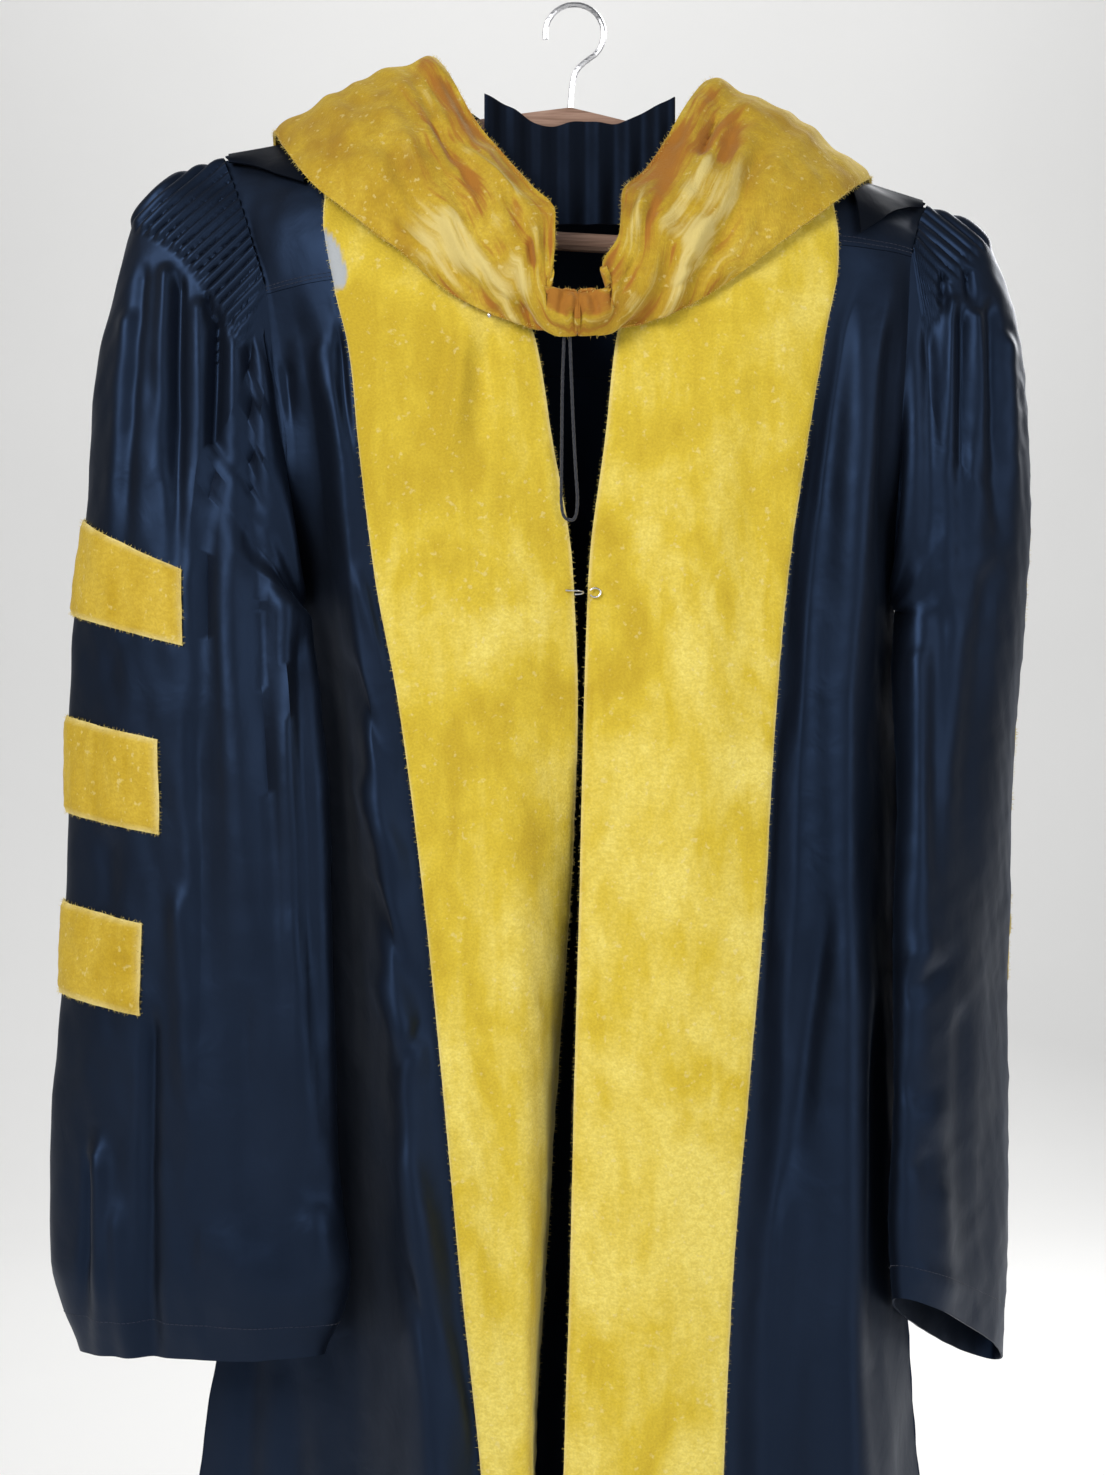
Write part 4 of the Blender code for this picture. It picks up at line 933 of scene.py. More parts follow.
def velvet_finish(name, deep, mid, pale, hood=False):
    """Velvet: a short pile with brushed patches, painted glints as pale specks, painted shade deep in the
    pile, a painted highlight that grows lower down and, on facings and bars, along the edges; on the hood,
    worn streaks with painted shade in creases and painted highlights on ridges where marked.
    """
    made = Finish(name, Sheen_Weight=0.35, Sheen_Roughness=0.4, Sheen_Tint=(1.0, 0.9, 0.55, 1),
                  Specular_IOR_Level=0.15)
    patches = made.noise(made.object, 10.0, 4.0, 1.0, stretch=(1, 1, 0.75))
    brushed = made.noise(made.object, 42.0, 4.0, 0.8, stretch=(1, 1, 0.5))
    streaks = made.noise(made.object, 95.0, 3.0, 0.5, stretch=(1, 1, 0.16))
    pile = made.noise(made.weave, 620.0)
    height = made.add("ShaderNodeSeparateXYZ", {"Vector": made.object}).outputs["Z"]
    tone = made.total((patches, 0.6), (brushed, 0.25), (streaks, 0.15))
    # Paler towards the bottom: a painted highlight of the nap
    tone = made.maths("ADD", tone, made.ranged(height, -0.45, -0.95, 0.0, 0.07))
    colour = made.ramp(tone, (0.4, deep), (0.49, mid), (0.62, pale))
    crushed = made.noise(made.object, 240.0, 3.0, 0.5, stretch=(1, 1, 1.6))
    colour = made.blend(made.ranged(crushed, 0.35, 0.65, 0.0, 0.3), colour, (*deep, 1))
    # Pale specks: painted glints of the pile
    specks = made.ranged(made.noise(made.object, 210.0), 0.62, 0.74, 0.0, 0.4)
    colour = made.blend(specks, colour, (*VELVET_HIGHLIGHT, 1))
    # Dark fibre roots: painted shade deep in the pile
    colour = made.blend(made.ranged(pile, 0.3, 0.7, 0.0, 0.16), colour, (*VELVET_PILE_SHADE, 1))
    if hood:
        # Long streaks of wear, with painted shade and painted highlights from the marked patches and the
        # creases
        long_streaks = made.noise(made.weave, 1.0, 3.0, 0.6, stretch=(75, 7, 1))
        fine = made.noise(made.weave, 1.0, 3.0, 0.4, stretch=(260, 30, 1))
        wear_and_painted_light = made.maths("SUBTRACT", made.total((long_streaks, 2.6), (fine, 1.1)), 1.93)
        # Creases colour the hood: troughs take painted shade, ridges a painted highlight
        for mark, share in (("tint", 0.42), ("crease", 0.4)):
            wear_and_painted_light = made.maths("ADD", wear_and_painted_light, made.maths("MULTIPLY", made.mark(mark), share))
        # Only inside the worn part: cream is painted highlight with wear, brown is painted shade with wear
        wear_and_painted_light = made.maths("MULTIPLY", wear_and_painted_light, made.mark("wear"))
        colour = made.blend(made.ranged(wear_and_painted_light, 0.08, 0.85, 0.0, 0.85), colour, (*HOOD_CREAM_WEAR_AND_HIGHLIGHT, 1))
        colour = made.blend(made.ranged(wear_and_painted_light, -0.02, -0.6, 0.0, 0.9), colour, (*HOOD_BROWN_WEAR_AND_SHADE, 1))
    else:
        # Painted highlight along the edges of facings and bars
        rim_highlight = made.maths("MULTIPLY", made.mark("edge"), made.ranged(brushed, 0.3, 0.6, 0.3, 0.75))
        colour = made.blend(rim_highlight, colour, (*VELVET_HIGHLIGHT, 1))
        colour = made.blend(made.mark("bare"), colour, (*BARE_GREY, 1))
    normal = made.bump(made.noise(made.object, 55.0, 3.0, 0.6), 0.0012, 0.5)
    return made.done(colour, 0.92, made.bump(pile, 0.0005, 0.8, normal))


def wood_finish(name):
    """Lacquered pale wood with a fine grain along the hanger."""
    made = Finish(name, Coat_Weight=0.25, Coat_Roughness=0.2, Specular_IOR_Level=0.5)
    grain = made.noise(made.object, 3.0, 5.0, 1.5, stretch=(5, 90, 90))
    fine = made.noise(made.object, 1.5, 3.0, stretch=(12, 500, 500))
    colour = made.ramp(grain, (0.3, (0.2, 0.11, 0.07)), (0.5, (0.34, 0.2, 0.14)), (0.72, (0.46, 0.3, 0.22)))
    colour = made.blend(made.ranged(fine, 0.4, 0.6, 0.0, 0.25), colour, (0.16, 0.08, 0.05, 1))
    return made.done(colour, made.ranged(grain, 0.3, 0.7, 0.36, 0.5), made.bump(fine, 0.0002, 0.5))


def steel_finish(name):
    """Bright plated wire with faint rub marks."""
    made = Finish(name, Metallic=1.0)
    rub = made.noise(made.object, 300.0, 3.0, stretch=(1, 1, 6))
    colour = made.ramp(rub, (0.3, (0.5, 0.5, 0.52)), (0.7, (0.72, 0.72, 0.74)))
    return made.done(colour, made.ranged(rub, 0.3, 0.7, 0.18, 0.36), made.bump(rub, 0.00005, 0.5))


def thread_finish(name, dark, light):
    """Matt thread or cord with fine fibres."""
    made = Finish(name, Sheen_Weight=0.3, Specular_IOR_Level=0.2)
    fibres = made.noise(made.object, 1400.0)
    return made.done(made.ramp(fibres, (0.35, dark), (0.65, light)), 0.85, made.bump(fibres, 0.0002, 0.6))


def stage_finish(name, colour):
    """A pale matt floor with a faint cloudiness."""
    made = Finish(name, Specular_IOR_Level=0.2)
    tone = made.noise(made.object, 1.3)
    shade = tuple(value * 0.985 for value in colour)
    return made.done(made.ramp(tone, (0.4, shade), (0.6, tuple(colour))), 0.9)


def finish(name):
    """A finish that is already made."""
    return bpy.data.materials[name]


def make_finishes(settings):
    """Every finish of the gown, from the sizes and colours in the panel."""
    navy = np.array(settings.satin_colour)
    gold = np.array(settings.velvet_colour)
    satin_finish("navy satin", tuple(navy * 0.6), tuple(navy * 1.4), settings.satin_sheen, 0.5, 0.5)
    satin_finish("black satin", (0.002, 0.0022, 0.003), (0.005, 0.0055, 0.007), 0.01, 0.15, 0.55)
    velvet_finish("gold velvet", tuple(gold * (0.87, 0.82, 0.7)), tuple(gold * (1.06, 1.06, 1.1)),
                  tuple(gold * (1.3, 1.44, 3.8)))
    velvet_finish("bar velvet", tuple(gold * (0.66, 0.56, 0.4)), tuple(gold * (0.82, 0.73, 0.55)),
                  tuple(gold * (1.0, 0.95, 1.3)))
    velvet_finish("worn hood velvet", tuple(gold * (0.6, 0.46, 0.5)), tuple(gold * (0.78, 0.68, 0.6)),
                  tuple(gold * (1.0, 0.95, 1.2)), hood=True)
    wood_finish("pale wood")
    steel_finish("bright steel")
    thread_finish("dark cord", (0.012, 0.013, 0.017), (0.05, 0.053, 0.065))
    thread_finish("navy thread", (0.006, 0.008, 0.018), (0.02, 0.028, 0.06))
    thread_finish("velvet fibre", tuple(gold), (0.8, 0.66, 0.26))


def front_levels(rows):
    """Side levels of the yoke's rows and of the panel's."""
    side = np.array([row[1] for row in rows], float)
    yoke = through(np.arange(SEAM_ROW + 1), side[:SEAM_ROW + 1], np.linspace(0, SEAM_ROW, YOKE_ROWS))
    share = np.linspace(0, 1, PANEL_ROWS)
    top = side[SEAM_ROW] - SEAM_GAP
    return yoke, top + (side[-1] - top) * (ROW_SPREAD[0] * share + ROW_SPREAD[1] * share * share)


def front_face(rows, sign, across, levels, settings):
    """The outer side of a front's satin with its creases, and the outward normals."""
    grid = front_points(rows, across, levels)
    normal = outwards(grid, sign)
    clear = smooth((across - FACING_EDGE) / CLEAR_OF_FACING)[None, :]
    rise = crease_height(grid, CREASES["front_left" if sign > 0 else "front_right"]) * clear
    rise = rise + crease_height(grid, CREASES["facing"])
    rise = rise + settings.unevenness * waves(grid, *FRONT_WAVES) * FRONT_STILLNESS
    rise = rise * (1 - smooth((across - SIDE_STILL) / (1 - SIDE_STILL)))[None, :]
    return grid + normal * (settings.satin_wall + rise)[:, :, None], normal


def make_fronts(settings):
    """The yokes and the front panels of navy satin."""
    for side, rows, sign in (("left", FRONT_LEFT, 1), ("right", FRONT_RIGHT, -1)):
        yoke_levels, panel_levels = front_levels(rows)
        for kind, levels in (("yoke", yoke_levels), ("front", panel_levels)):
            face, _ = front_face(rows, sign, PANEL_ACROSS, levels, settings)
            made = wall("satin_%s_%s" % (kind, side), face, sign, settings.satin_wall, finish("navy satin"))
            keep_sheet(made, "navy_satin", "%s_%s" % (kind, side))


def edge_mark(edge, width):
    """One at a velvet piece's edge, fading over a width: it places the edge's fibres and, on facings and
    bars, a painted highlight.
    """
    return np.exp(-(edge / width) ** 2)


def make_facings(settings):
    """The two velvet facings, with the bare patch at the left one's outer edge."""
    across = np.linspace(0, FACING_EDGE, FACING_ACROSS)
    edge = np.minimum(across, FACING_EDGE - across) / FACING_EDGE
    crown = settings.velvet_crown * np.sin(np.pi * across / FACING_EDGE)
    roll = 1 - FACING_ROLL[0] * (1 - smooth(edge / FACING_ROLL[1]))
    patch = np.array(BARE_PATCH, float)
    for side, rows, sign in (("left", FRONT_LEFT, 1), ("right", FRONT_RIGHT, -1)):
        yoke_levels, panel_levels = front_levels(rows)
        below = through(np.arange(PANEL_ROWS), panel_levels, np.linspace(1, PANEL_ROWS - 1, FACING_ROWS))
        face, normal = front_face(rows, sign, across, np.concatenate([yoke_levels, below]), settings)
        level = face[:, :, 2]
        reach = through(-patch[:, 0], patch[:, 1], -level[:, 0])[:, None]
        reach = reach + PATCH_WAVES[0] * ripple(face, *PATCH_WAVES[1:])
        within = smooth((level - patch[-1, 0]) / PATCH_SOFT[1])
        within = within * smooth((patch[0, 0] - level) / PATCH_SOFT[1])
        bare = smooth((reach - face[:, :, 0]) / PATCH_SOFT[0]) * within * (sign > 0)
        pile = (settings.velvet_wall + crown)[None, :] * roll[None, :]
        pile = pile + PILE_WAVES[0] * ripple(face, *PILE_WAVES[1:])
        face = face + normal * (LAY_GAP + pile - PATCH_DEPTH * bare)[:, :, None]
        marks = {"bare": bare, "edge": edge_mark(edge, FACING_RIM) + 0 * bare}
        name = "velvet_facing_" + side
        made = wall(name, face, sign, settings.velvet_wall, finish("gold velvet"), marks=marks)
        keep_sheet(made, "gold_velvet", "facing_" + side, rests_on=["satin_front_" + side])


def make_back(settings):
    """The gown's back below its yoke, hanging in long folds, and the yoke."""
    across = np.linspace(0, 1, BACK_FOLD_STEPS * BACK_FOLDS + 1)
    rows = np.array(BACK, float)
    levels = np.linspace(rows[0, 0], rows[-1, 0], BACK_ROWS)
    found = through(-rows[:, 0], rows, -levels)
    grid = hung_points(found, across)
    _, share = back_rounding(across)
    shifted = across + BACK_SHIFT[0] * np.sin(BACK_SHIFT[1] * across)
    wave = 0.5 - 0.5 * np.cos(2 * np.pi * BACK_FOLDS * shifted)
    grid[:, :, 1] += found[:, 7:8] * (wave * share)[None, :] + SEAM_GAP
    rise = settings.unevenness * waves(grid, *BACK_WAVES)
    face = grid + outwards(grid, 1) * (settings.satin_wall + rise)[:, :, None]
    made = wall("satin_back", face, 1, settings.satin_wall, finish("navy satin"))
    keep_sheet(made, "navy_satin", "back")
    top = shoulder_line(across, 0)
    top[:, 1] += SEAM_GAP
    yoke = arched(top, grid[0] + np.array([0, 0, SEAM_GAP]), np.linspace(0, 1, YOKE_ROWS))
    face = yoke + outwards(yoke, 1) * settings.satin_wall
    made = wall("satin_yoke_back", face, 1, settings.satin_wall, finish("navy satin"))
    keep_sheet(made, "navy_satin", "yoke_back")


def armhole(side, places):
    """The armhole's loop, from the underarm up the front, over the shoulder and down the back."""
    rows = FRONT_LEFT if side == "left" else FRONT_RIGHT
    front = np.array([(row[12], row[13], row[1]) for row in rows[:UNDERARM_ROW + 1]], float)
    start = BACK_COLUMNS.index(side + "_x")
    level = BACK_COLUMNS.index("z_" + side)
    behind = BACK[:BACK_UNDERARM_ROW + 1]
    back = np.array([(row[start], row[start + 1], row[level]) for row in behind], float)
    shoulder = arched(front[:1], back[:1], np.linspace(0, 1, 5))[:, 0]
    loop = np.concatenate([front[::-1], shoulder[1:], back[1:]])
    back_at = UNDERARM_ROW + len(shoulder) - 1
    marks = (0, UNDERARM_ROW - SEAM_ROW, UNDERARM_ROW, back_at, len(loop) - 1)
    stations = (0, FLUTE_FROM, 0.5, FLUTE_TO, 1)
    keys = np.zeros(len(loop))
    for begin, stop, low, high in zip(marks, marks[1:], stations, stations[1:]):
        run = np.linalg.norm(np.diff(loop[begin:stop + 1], axis=0), axis=1)
        keys[begin:stop + 1] = low + (high - low) * np.concatenate([[0], np.cumsum(run)]) / run.sum()
    return through(keys, loop, np.mod(places, 1))


def sleeve_face(side, places, rings, settings):
    """The outer side of a sleeve at places round it and rings down it, counted from the armhole."""
    rows = SLEEVE_LEFT if side == "left" else SLEEVE_RIGHT
    mirror = 1 if side == "left" else -1
    angle = 2 * np.pi * places
    table = [armhole(side, places)]
    for z_in, z_out, x, y, length, depth, turn, _ in rows:
        turn = math.radians(turn)
        along = length * np.cos(angle)
        beside = depth * np.sin(angle)
        ring_x = x + mirror * (along * math.cos(turn) - beside * math.sin(turn))
        ring_y = y - along * math.sin(turn) - beside * math.cos(turn)
        ring_z = z_in + (z_out - z_in) * (1 - np.cos(angle)) / 2
        table.append(np.stack([ring_x, ring_y, ring_z], axis=-1))
    grid = through(np.arange(len(table)), np.array(table), rings)
    place = np.mod(places, 1)
    lobe = smooth((place - LOBE_FROM) / LOBE_RISE) * smooth((LOBE_TO - place) / LOBE_FALL)
    lobe = lobe + smooth((place - 1 - LOBE_FROM) / LOBE_RISE)
    lobe = lobe[None, :] * (smooth(rings / LOBE_START) * smooth((LOBE_END - rings) / LOBE_FADE))[:, None]
    reach_in, reach_out = SLEEVE_LOBES[side]
    grid[:, :, 0] += mirror * reach_in * lobe
    grid[:, :, 1] -= reach_out * lobe
    normal = outwards(grid, mirror, True)
    ahead = smooth((TURNED_AWAY[0] - normal[:, :, 1]) / TURNED_AWAY[1])
    rise = crease_height(grid, CREASES["sleeve_" + side], *SLEEVE_CREASE_ENDS) * ahead
    rear = grid * (-mirror, 1, 1)
    rise = rise + crease_height(rear, SLEEVE_BACK_CREASES) * (1 - ahead)
    rise = rise + flute_height(grid, places, rings, side, settings)
    uneven = waves(grid, *SLEEVE_WAVES[side])
    rise = rise + settings.unevenness * uneven * smooth(rings / SEWN_RINGS)[:, None]
    return grid + normal * (settings.satin_wall + rise)[:, :, None]


def flute_height(grid, places, rings, side, settings):
    """The pleats that hold the sleeve's fullness: straight rows in front, even ones on the back."""
    place = np.mod(places, 1)
    up_left = (grid[:, :, 2] + np.abs(grid[:, :, 0])) / math.sqrt(2)
    down_left = (np.abs(grid[:, :, 0]) - grid[:, :, 2]) / math.sqrt(2)
    count = np.floor(up_left / PLEAT_SPACING)
    jitter = PLEAT_UNEVEN * np.sin(count * PLEAT_JITTER[0] + PLEAT_JITTER[1])
    straight = np.abs(np.sin(np.pi * up_left / PLEAT_SPACING)) ** PLEAT_ROUND
    straight = straight * smooth((PLEAT_END + jitter - down_left) / PLEAT_FADE)
    rise, last, fall = PLEAT_FRONT
    front = smooth((place - FLUTE_FROM) / rise) * smooth((last - place) / fall)
    phase = (place - 0.5) / (FLUTE_TO - 0.5) * FLUTES_BACK
    fade = smooth((PLEAT_BACK_END - rings) / PLEAT_BACK_FADE)[:, None]
    even = np.abs(np.sin(np.pi * phase)) ** PLEAT_ROUND * fade
    rear = smooth((place - 0.5) / PLEAT_REAR[0]) * smooth((FLUTE_TO - place) / PLEAT_REAR[1])
    return settings.pleat_height * (straight * front[None, :] * PLEAT_SHARE[side] + even * rear[None, :])


def sleeve_places(front, back, under):
    """Places round a sleeve: so many steps on its front, its back and below the arm."""
    return np.concatenate([
        np.linspace(FLUTE_FROM, 0.5, front + 1)[:-1],
        np.linspace(0.5, FLUTE_TO, back + 1)[:-1],
        np.linspace(FLUTE_TO, 1 + FLUTE_FROM, under + 1)[:-1],
    ])


def make_sleeves(settings):
    """The two bell sleeves and the velvet bars that lie on them."""
    places = sleeve_places(*SLEEVE_PLACES)
    for side, mirror, bars in (("left", 1, BARS_LEFT), ("right", -1, BARS_RIGHT)):
        face = sleeve_face(side, places, SLEEVE_RINGS, settings)
        name = "satin_sleeve_" + side
        made = wall(name, face, mirror, settings.satin_wall, finish("navy satin"), ring=True)
        keep_sheet(made, "navy_satin", "sleeve_" + side, "gathered")
        for number, (top, bottom, start, end) in enumerate(bars, 1):
            make_bar(side, mirror, number, (top, bottom), (start, end), settings)


def make_bar(side, mirror, number, rings, places, settings):
    """One velvet bar, with soft rolled edges and rounded ends."""
    around = np.linspace(places[0], places[1], BAR_ACROSS)
    down = np.linspace(rings[0], rings[1], BAR_ROWS)
    ring = np.linspace(0, 1, BAR_RING)[:-1]
    whole = sleeve_face(side, ring, down, settings)
    face = np.stack([through(np.append(ring, 1.0), np.concatenate([row, row[:1]]), around) for row in whole])
    normal = outwards(face, mirror)
    width = np.linalg.norm(face[:, 1] - face[:, 0], axis=1).mean() * (len(around) - 1)
    height = np.linalg.norm(face[1] - face[0], axis=1).mean() * (len(down) - 1)
    from_side = np.minimum(np.linspace(0, width, len(around)), np.linspace(width, 0, len(around)))
    from_top = np.minimum(np.linspace(0, height, len(down)), np.linspace(height, 0, len(down)))
    inside = np.minimum(from_side[None, :], from_top[:, None])
    pile = settings.velvet_wall * (BAR_ROLL[0] + BAR_ROLL[1] * smooth(inside / BAR_ROLL[2]))
    pile = pile + BAR_WAVES[0] * ripple(face, BAR_WAVES[1], BAR_WAVES[2] + number)
    face = face + normal * (LAY_GAP + pile)[:, :, None]
    name = "%s_%d" % (side, number)
    marks = {"bare": np.zeros(face.shape[:2]), "edge": edge_mark(inside, BAR_RIM)}
    made = wall("velvet_bar_" + name, face, mirror, settings.velvet_wall, finish("bar velvet"), marks=marks)
    keep_sheet(made, "gold_velvet", "bar_" + name, rests_on=["satin_sleeve_" + side])


def long_folds(grid):
    """Soft folds that run along a band's length, between about -1 and 1."""
    across = np.cumsum(np.linalg.norm(np.diff(grid, axis=1, prepend=grid[:, :1]), axis=2), axis=1)
    along = np.cumsum(np.linalg.norm(np.diff(grid, axis=0, prepend=grid[:1]), axis=2), axis=0)
    flat = np.stack([across, FOLD_SLANT * along, 0 * across], axis=-1)
    return ripple(flat, FOLD_WIDTH, FOLD_SEED)


def make_hood_bands(settings):
    """The hood's velvet band from the front V over each shoulder to the back V."""
    across = np.linspace(0, 1, BAND_ACROSS)
    edge = np.minimum(across, 1 - across)
    roll = BAND_ROLL[0] + BAND_ROLL[1] * smooth(edge / BAND_ROLL[2])
    long, long_seed, short, short_seed = BAND_WAVES
    for side, rows, sign in (("left", BAND_LEFT, -1), ("right", BAND_RIGHT, 1)):
        front = np.linspace(0, 3, BAND_ROWS[0])
        steps = np.concatenate([front, np.linspace(3, len(rows) - 1, BAND_ROWS[1])[1:]])
        found = through(np.arange(len(rows)), rows, steps)
        neck, hem, swell = found[:, :3], found[:, 3:6], found[:, 6]
        grid = neck[:, None] + (hem - neck)[:, None] * across[None, :, None]
        normal = band_normals(grid, sign)
        grid = grid + normal * (swell[:, None] * np.sin(np.pi * across)[None, :])[:, :, None]
        normal = band_normals(grid, sign)
        ahead = smooth((FRONT_ENDS - grid[:, :, 1]) / FRONT_FADE)
        # The worn part, which also carries the hood's painted shade and highlights
        wear = ahead * smooth((WORN_AND_SHADED_REACH - np.abs(grid[:, :, 0])) / WORN_AND_SHADED_FADE)
        crease = crease_height(grid, HOOD_CREASES, *HOOD_CREASE_FADE) * ahead
        crease = crease + crease_height(grid, HOOD_BACK_CREASES) * (1 - ahead)
        crease = crease + HOOD_FOLD * long_folds(grid) * (UNWORN_FOLDS + (1 - UNWORN_FOLDS) * wear)
        # Painted shade and painted highlights at the marked patches, partly wear
        tint = crease_height(grid, HOOD_SHADE_AND_HIGHLIGHT, *HOOD_CREASE_FADE) * ahead
        uneven = ripple(grid, long, long_seed) + BAND_WAVE_SHARES[0] * ripple(grid, short, short_seed)
        uneven = settings.unevenness * uneven * BAND_WAVE_SHARES[1]
        join = smooth(steps / V_JOIN)[:, None]
        calm = smooth(edge / BAND_CALM[0] + BAND_CALM[1])[None, :]
        rise = settings.velvet_wall * roll[None, :] + (crease + uneven) * join * calm
        marks = {"crease": np.clip(crease / FULL_CREASE, -1, 1), "tint": tint, "wear": wear,
                 "edge": edge_mark(edge, HOOD_RIM) + 0 * tint}
        made = wall("velvet_hood_" + side, grid + normal * rise[:, :, None], sign, settings.velvet_wall,
                    finish("worn hood velvet"), marks=marks)
        keep_sheet(made, "gold_velvet", "hood_band_" + side, "draped", ["satin_yoke_" + side])


def band_normals(grid, sign):
    """A band's outward normals, kept in the middle plane where the two bands meet."""
    normal = outwards(grid, sign)
    normal[[0, -1], :, 0] = 0
    return normal


def keep_black(name, grid, sign, node, held, settings, **rests):
    """A piece of the hood's black satin, handed to the frame."""
    made = wall(name, grid, sign, settings.satin_wall, finish("black satin"))
    keep_sheet(made, "black_satin", node, held, **rests)


def make_hood_shell(settings):
    """The hood's black shell on the back."""
    across = np.linspace(0, 1, SHELL_ACROSS)
    rows = np.array(SHELL, float)
    levels = np.linspace(rows[0, 0], rows[-1, 0], SHELL_ROWS[1])
    body = hung_points(through(-rows[:, 0], rows, -levels), across)
    top = shoulder_line(across, SHELL_RISE)
    top[:, 1] += SEAM_GAP
    grid = np.concatenate([arched(top, body[0], np.linspace(0, 1, SHELL_ROWS[0]))[:-1], body])
    rise = crease_height(grid, SHELL_CREASES) + settings.unevenness * ripple(grid, *SHELL_WAVES)
    rise = rise * smooth((SHELL_STILL - grid[:, :, 2]) / SHELL_FADE)
    face = grid + outwards(grid, 1) * (settings.satin_wall + rise)[:, :, None]
    keep_black("satin_hood_shell", face, 1, "hood_shell", "draped", settings, rests_on=["satin_back"])


def make_flaps(settings):
    """The shell's two flaps that come forward over the shoulders."""
    places = np.linspace(SHOULDER_FROM, SHOULDER_TO, FLAP_ACROSS)
    steps = np.linspace(0, 1, FLAP_ROWS)
    drop = SHOULDER_DROP * (1 - SHOULDER_TAPER * np.linspace(0, 1, len(places)))
    lift = (settings.satin_wall + SHOULDER_LIFT * np.sin(steps * np.pi / 2))[:, None, None]
    for side, rows, sign in (("left", FRONT_LEFT, 1), ("right", FRONT_RIGHT, -1)):
        lines = [front_points(rows, np.array([place]), rows[0][1] - reach * steps)[:, 0]
                 for place, reach in zip(places, drop)]
        grid = np.stack(lines, axis=1)
        grid = grid + outwards(grid, sign) * lift
        grid[:, :, 2] += SHELL_RISE * (1 - steps)[:, None]
        grid[0, :, 1] = -SEAM_GAP
        face = grid + outwards(grid, sign) * settings.satin_wall
        keep_black("satin_hood_shoulder_" + side, face, sign, "hood_shoulder_" + side, "draped", settings,
                   rests_on=["satin_yoke_" + side])


def make_neck(settings):
    """The gathered black cloth in front of the hanger's middle."""
    places = np.linspace(0, 1, NECK_ACROSS)
    rows = np.array(NECK, float)
    x = rows[0, 0] + (rows[-1, 0] - rows[0, 0]) * places
    top, depth = through(rows[:, 0], rows[:, 1:], x).T
    down = np.linspace(0, 1, NECK_ROWS)[:, None]
    pleat = NECK_PLEAT_DEPTH * np.sin(2 * np.pi * NECK_PLEATS * places + 0.7 * np.sin(5 * places))
    y = depth - pleat * (1 - NECK_PLEAT_EASE * down) - settings.satin_wall
    z = top + (NECK_BOTTOM - top) * down + 0 * y
    grid = np.stack([x + 0 * y, y, z], axis=-1)
    keep_black("satin_hood_neck", grid, -1, "hood_neck", "gathered", settings)


def smooth_line(points, count):
    """Points spaced evenly along one smooth curve through a route's own points."""
    points = np.asarray(points, float)
    run = np.concatenate([[0], np.cumsum(np.linalg.norm(np.diff(points, axis=0), axis=1))])
    return through(run, points, np.linspace(0, run[-1], count))


def make_loop():
    """The cord loop below the V, two plies twisted together."""
    line = smooth_line(CORD_LINE, CORD_RINGS)
    run = np.concatenate([[0], np.cumsum(np.linalg.norm(np.diff(line, axis=0), axis=1))])
    way = np.gradient(line, axis=0)
    way /= np.linalg.norm(way, axis=1, keepdims=True)
    side = np.cross(way, (0.0, 1.0, 0.0))
    side /= np.linalg.norm(side, axis=1, keepdims=True)
    rest = np.cross(side, way)
    angle = np.linspace(0, 2 * np.pi, CORD_SIDES + 1)[:-1]
    groove = np.abs(np.cos(angle[None, :] - 2 * np.pi * run[:, None] / CORD_TWIST))
    radius = CORD_RADIUS * (1 - CORD_GROOVE + CORD_GROOVE * groove)
    round_it = np.cos(angle)[None, :, None] * side[:, None] + np.sin(angle)[None, :, None] * rest[:, None]
    ring = radius[:, :, None] * round_it
    points = ((line[:, None] + ring).reshape(-1, 3) * MM).tolist()
    corners = face_corners(len(line), CORD_SIDES)
    faces = (corners[:, :, 0] * CORD_SIDES + corners[:, :, 1] % CORD_SIDES).tolist()
    faces += [list(range(CORD_SIDES))[::-1], [(len(line) - 1) * CORD_SIDES + k for k in range(CORD_SIDES)]]
    mesh = bpy.data.meshes.new("hood_loop_cord")
    mesh.from_pydata(points, [], faces)
    mesh.shade_smooth()
    mesh.materials.append(finish("dark cord"))
    made = bpy.data.objects.new("hood_loop_cord", mesh)
    bpy.context.scene.collection.objects.link(made)
    keep(made, "dark_cord", "hood_loop")


def new_tree(name, given, *inputs):
    """A geometry tree with named inputs, and its first and last nodes."""
    tree = bpy.data.node_groups.new(name, "GeometryNodeTree")
    tree.interface.new_socket(given, in_out="INPUT", socket_type="NodeSocketGeometry")
    for label, kind in inputs:
        tree.interface.new_socket(label, in_out="INPUT", socket_type="NodeSocket" + kind)
    tree.interface.new_socket("Made", in_out="OUTPUT", socket_type="NodeSocketGeometry")
    return tree, tree.nodes.new("NodeGroupInput"), tree.nodes.new("NodeGroupOutput")


def finish_tree(tree, start, end, laid):
    """Ends a tree: its instances are made real and take their finish."""
    real = add_node(tree, "GeometryNodeRealizeInstances", {"Geometry": laid.outputs["Instances"]})
    dressed = add_node(tree, "GeometryNodeSetMaterial", {
        "Geometry": real.outputs["Geometry"], "Material": start.outputs["Finish"]})
    tree.links.new(dressed.outputs["Geometry"], end.inputs["Made"])
    return tree


def turned_up(tree, way):
    """The rotation that turns a shape's own Z to a direction."""
    return add_node(tree, "FunctionNodeAlignRotationToVector", {"Vector": way}, axis="Z").outputs["Rotation"]


def plain_mesh(maker, name, tree, values):
    """The mesh that a tree makes on an object, which is then thrown away."""
    modifier = maker.modifiers.new(tree.name, "NODES")
    modifier.node_group = tree
    for item in tree.interface.items_tree:
        if item.in_out == "INPUT" and item.name in values:
            modifier[item.identifier] = values[item.name]
    evaluated = maker.evaluated_get(bpy.context.evaluated_depsgraph_get())
    mesh = bpy.data.meshes.new_from_object(evaluated)
    bpy.data.objects.remove(maker, do_unlink=True)
    mesh.name = name
    made = bpy.data.objects.new(name, mesh)
    bpy.context.scene.collection.objects.link(made)
    return made


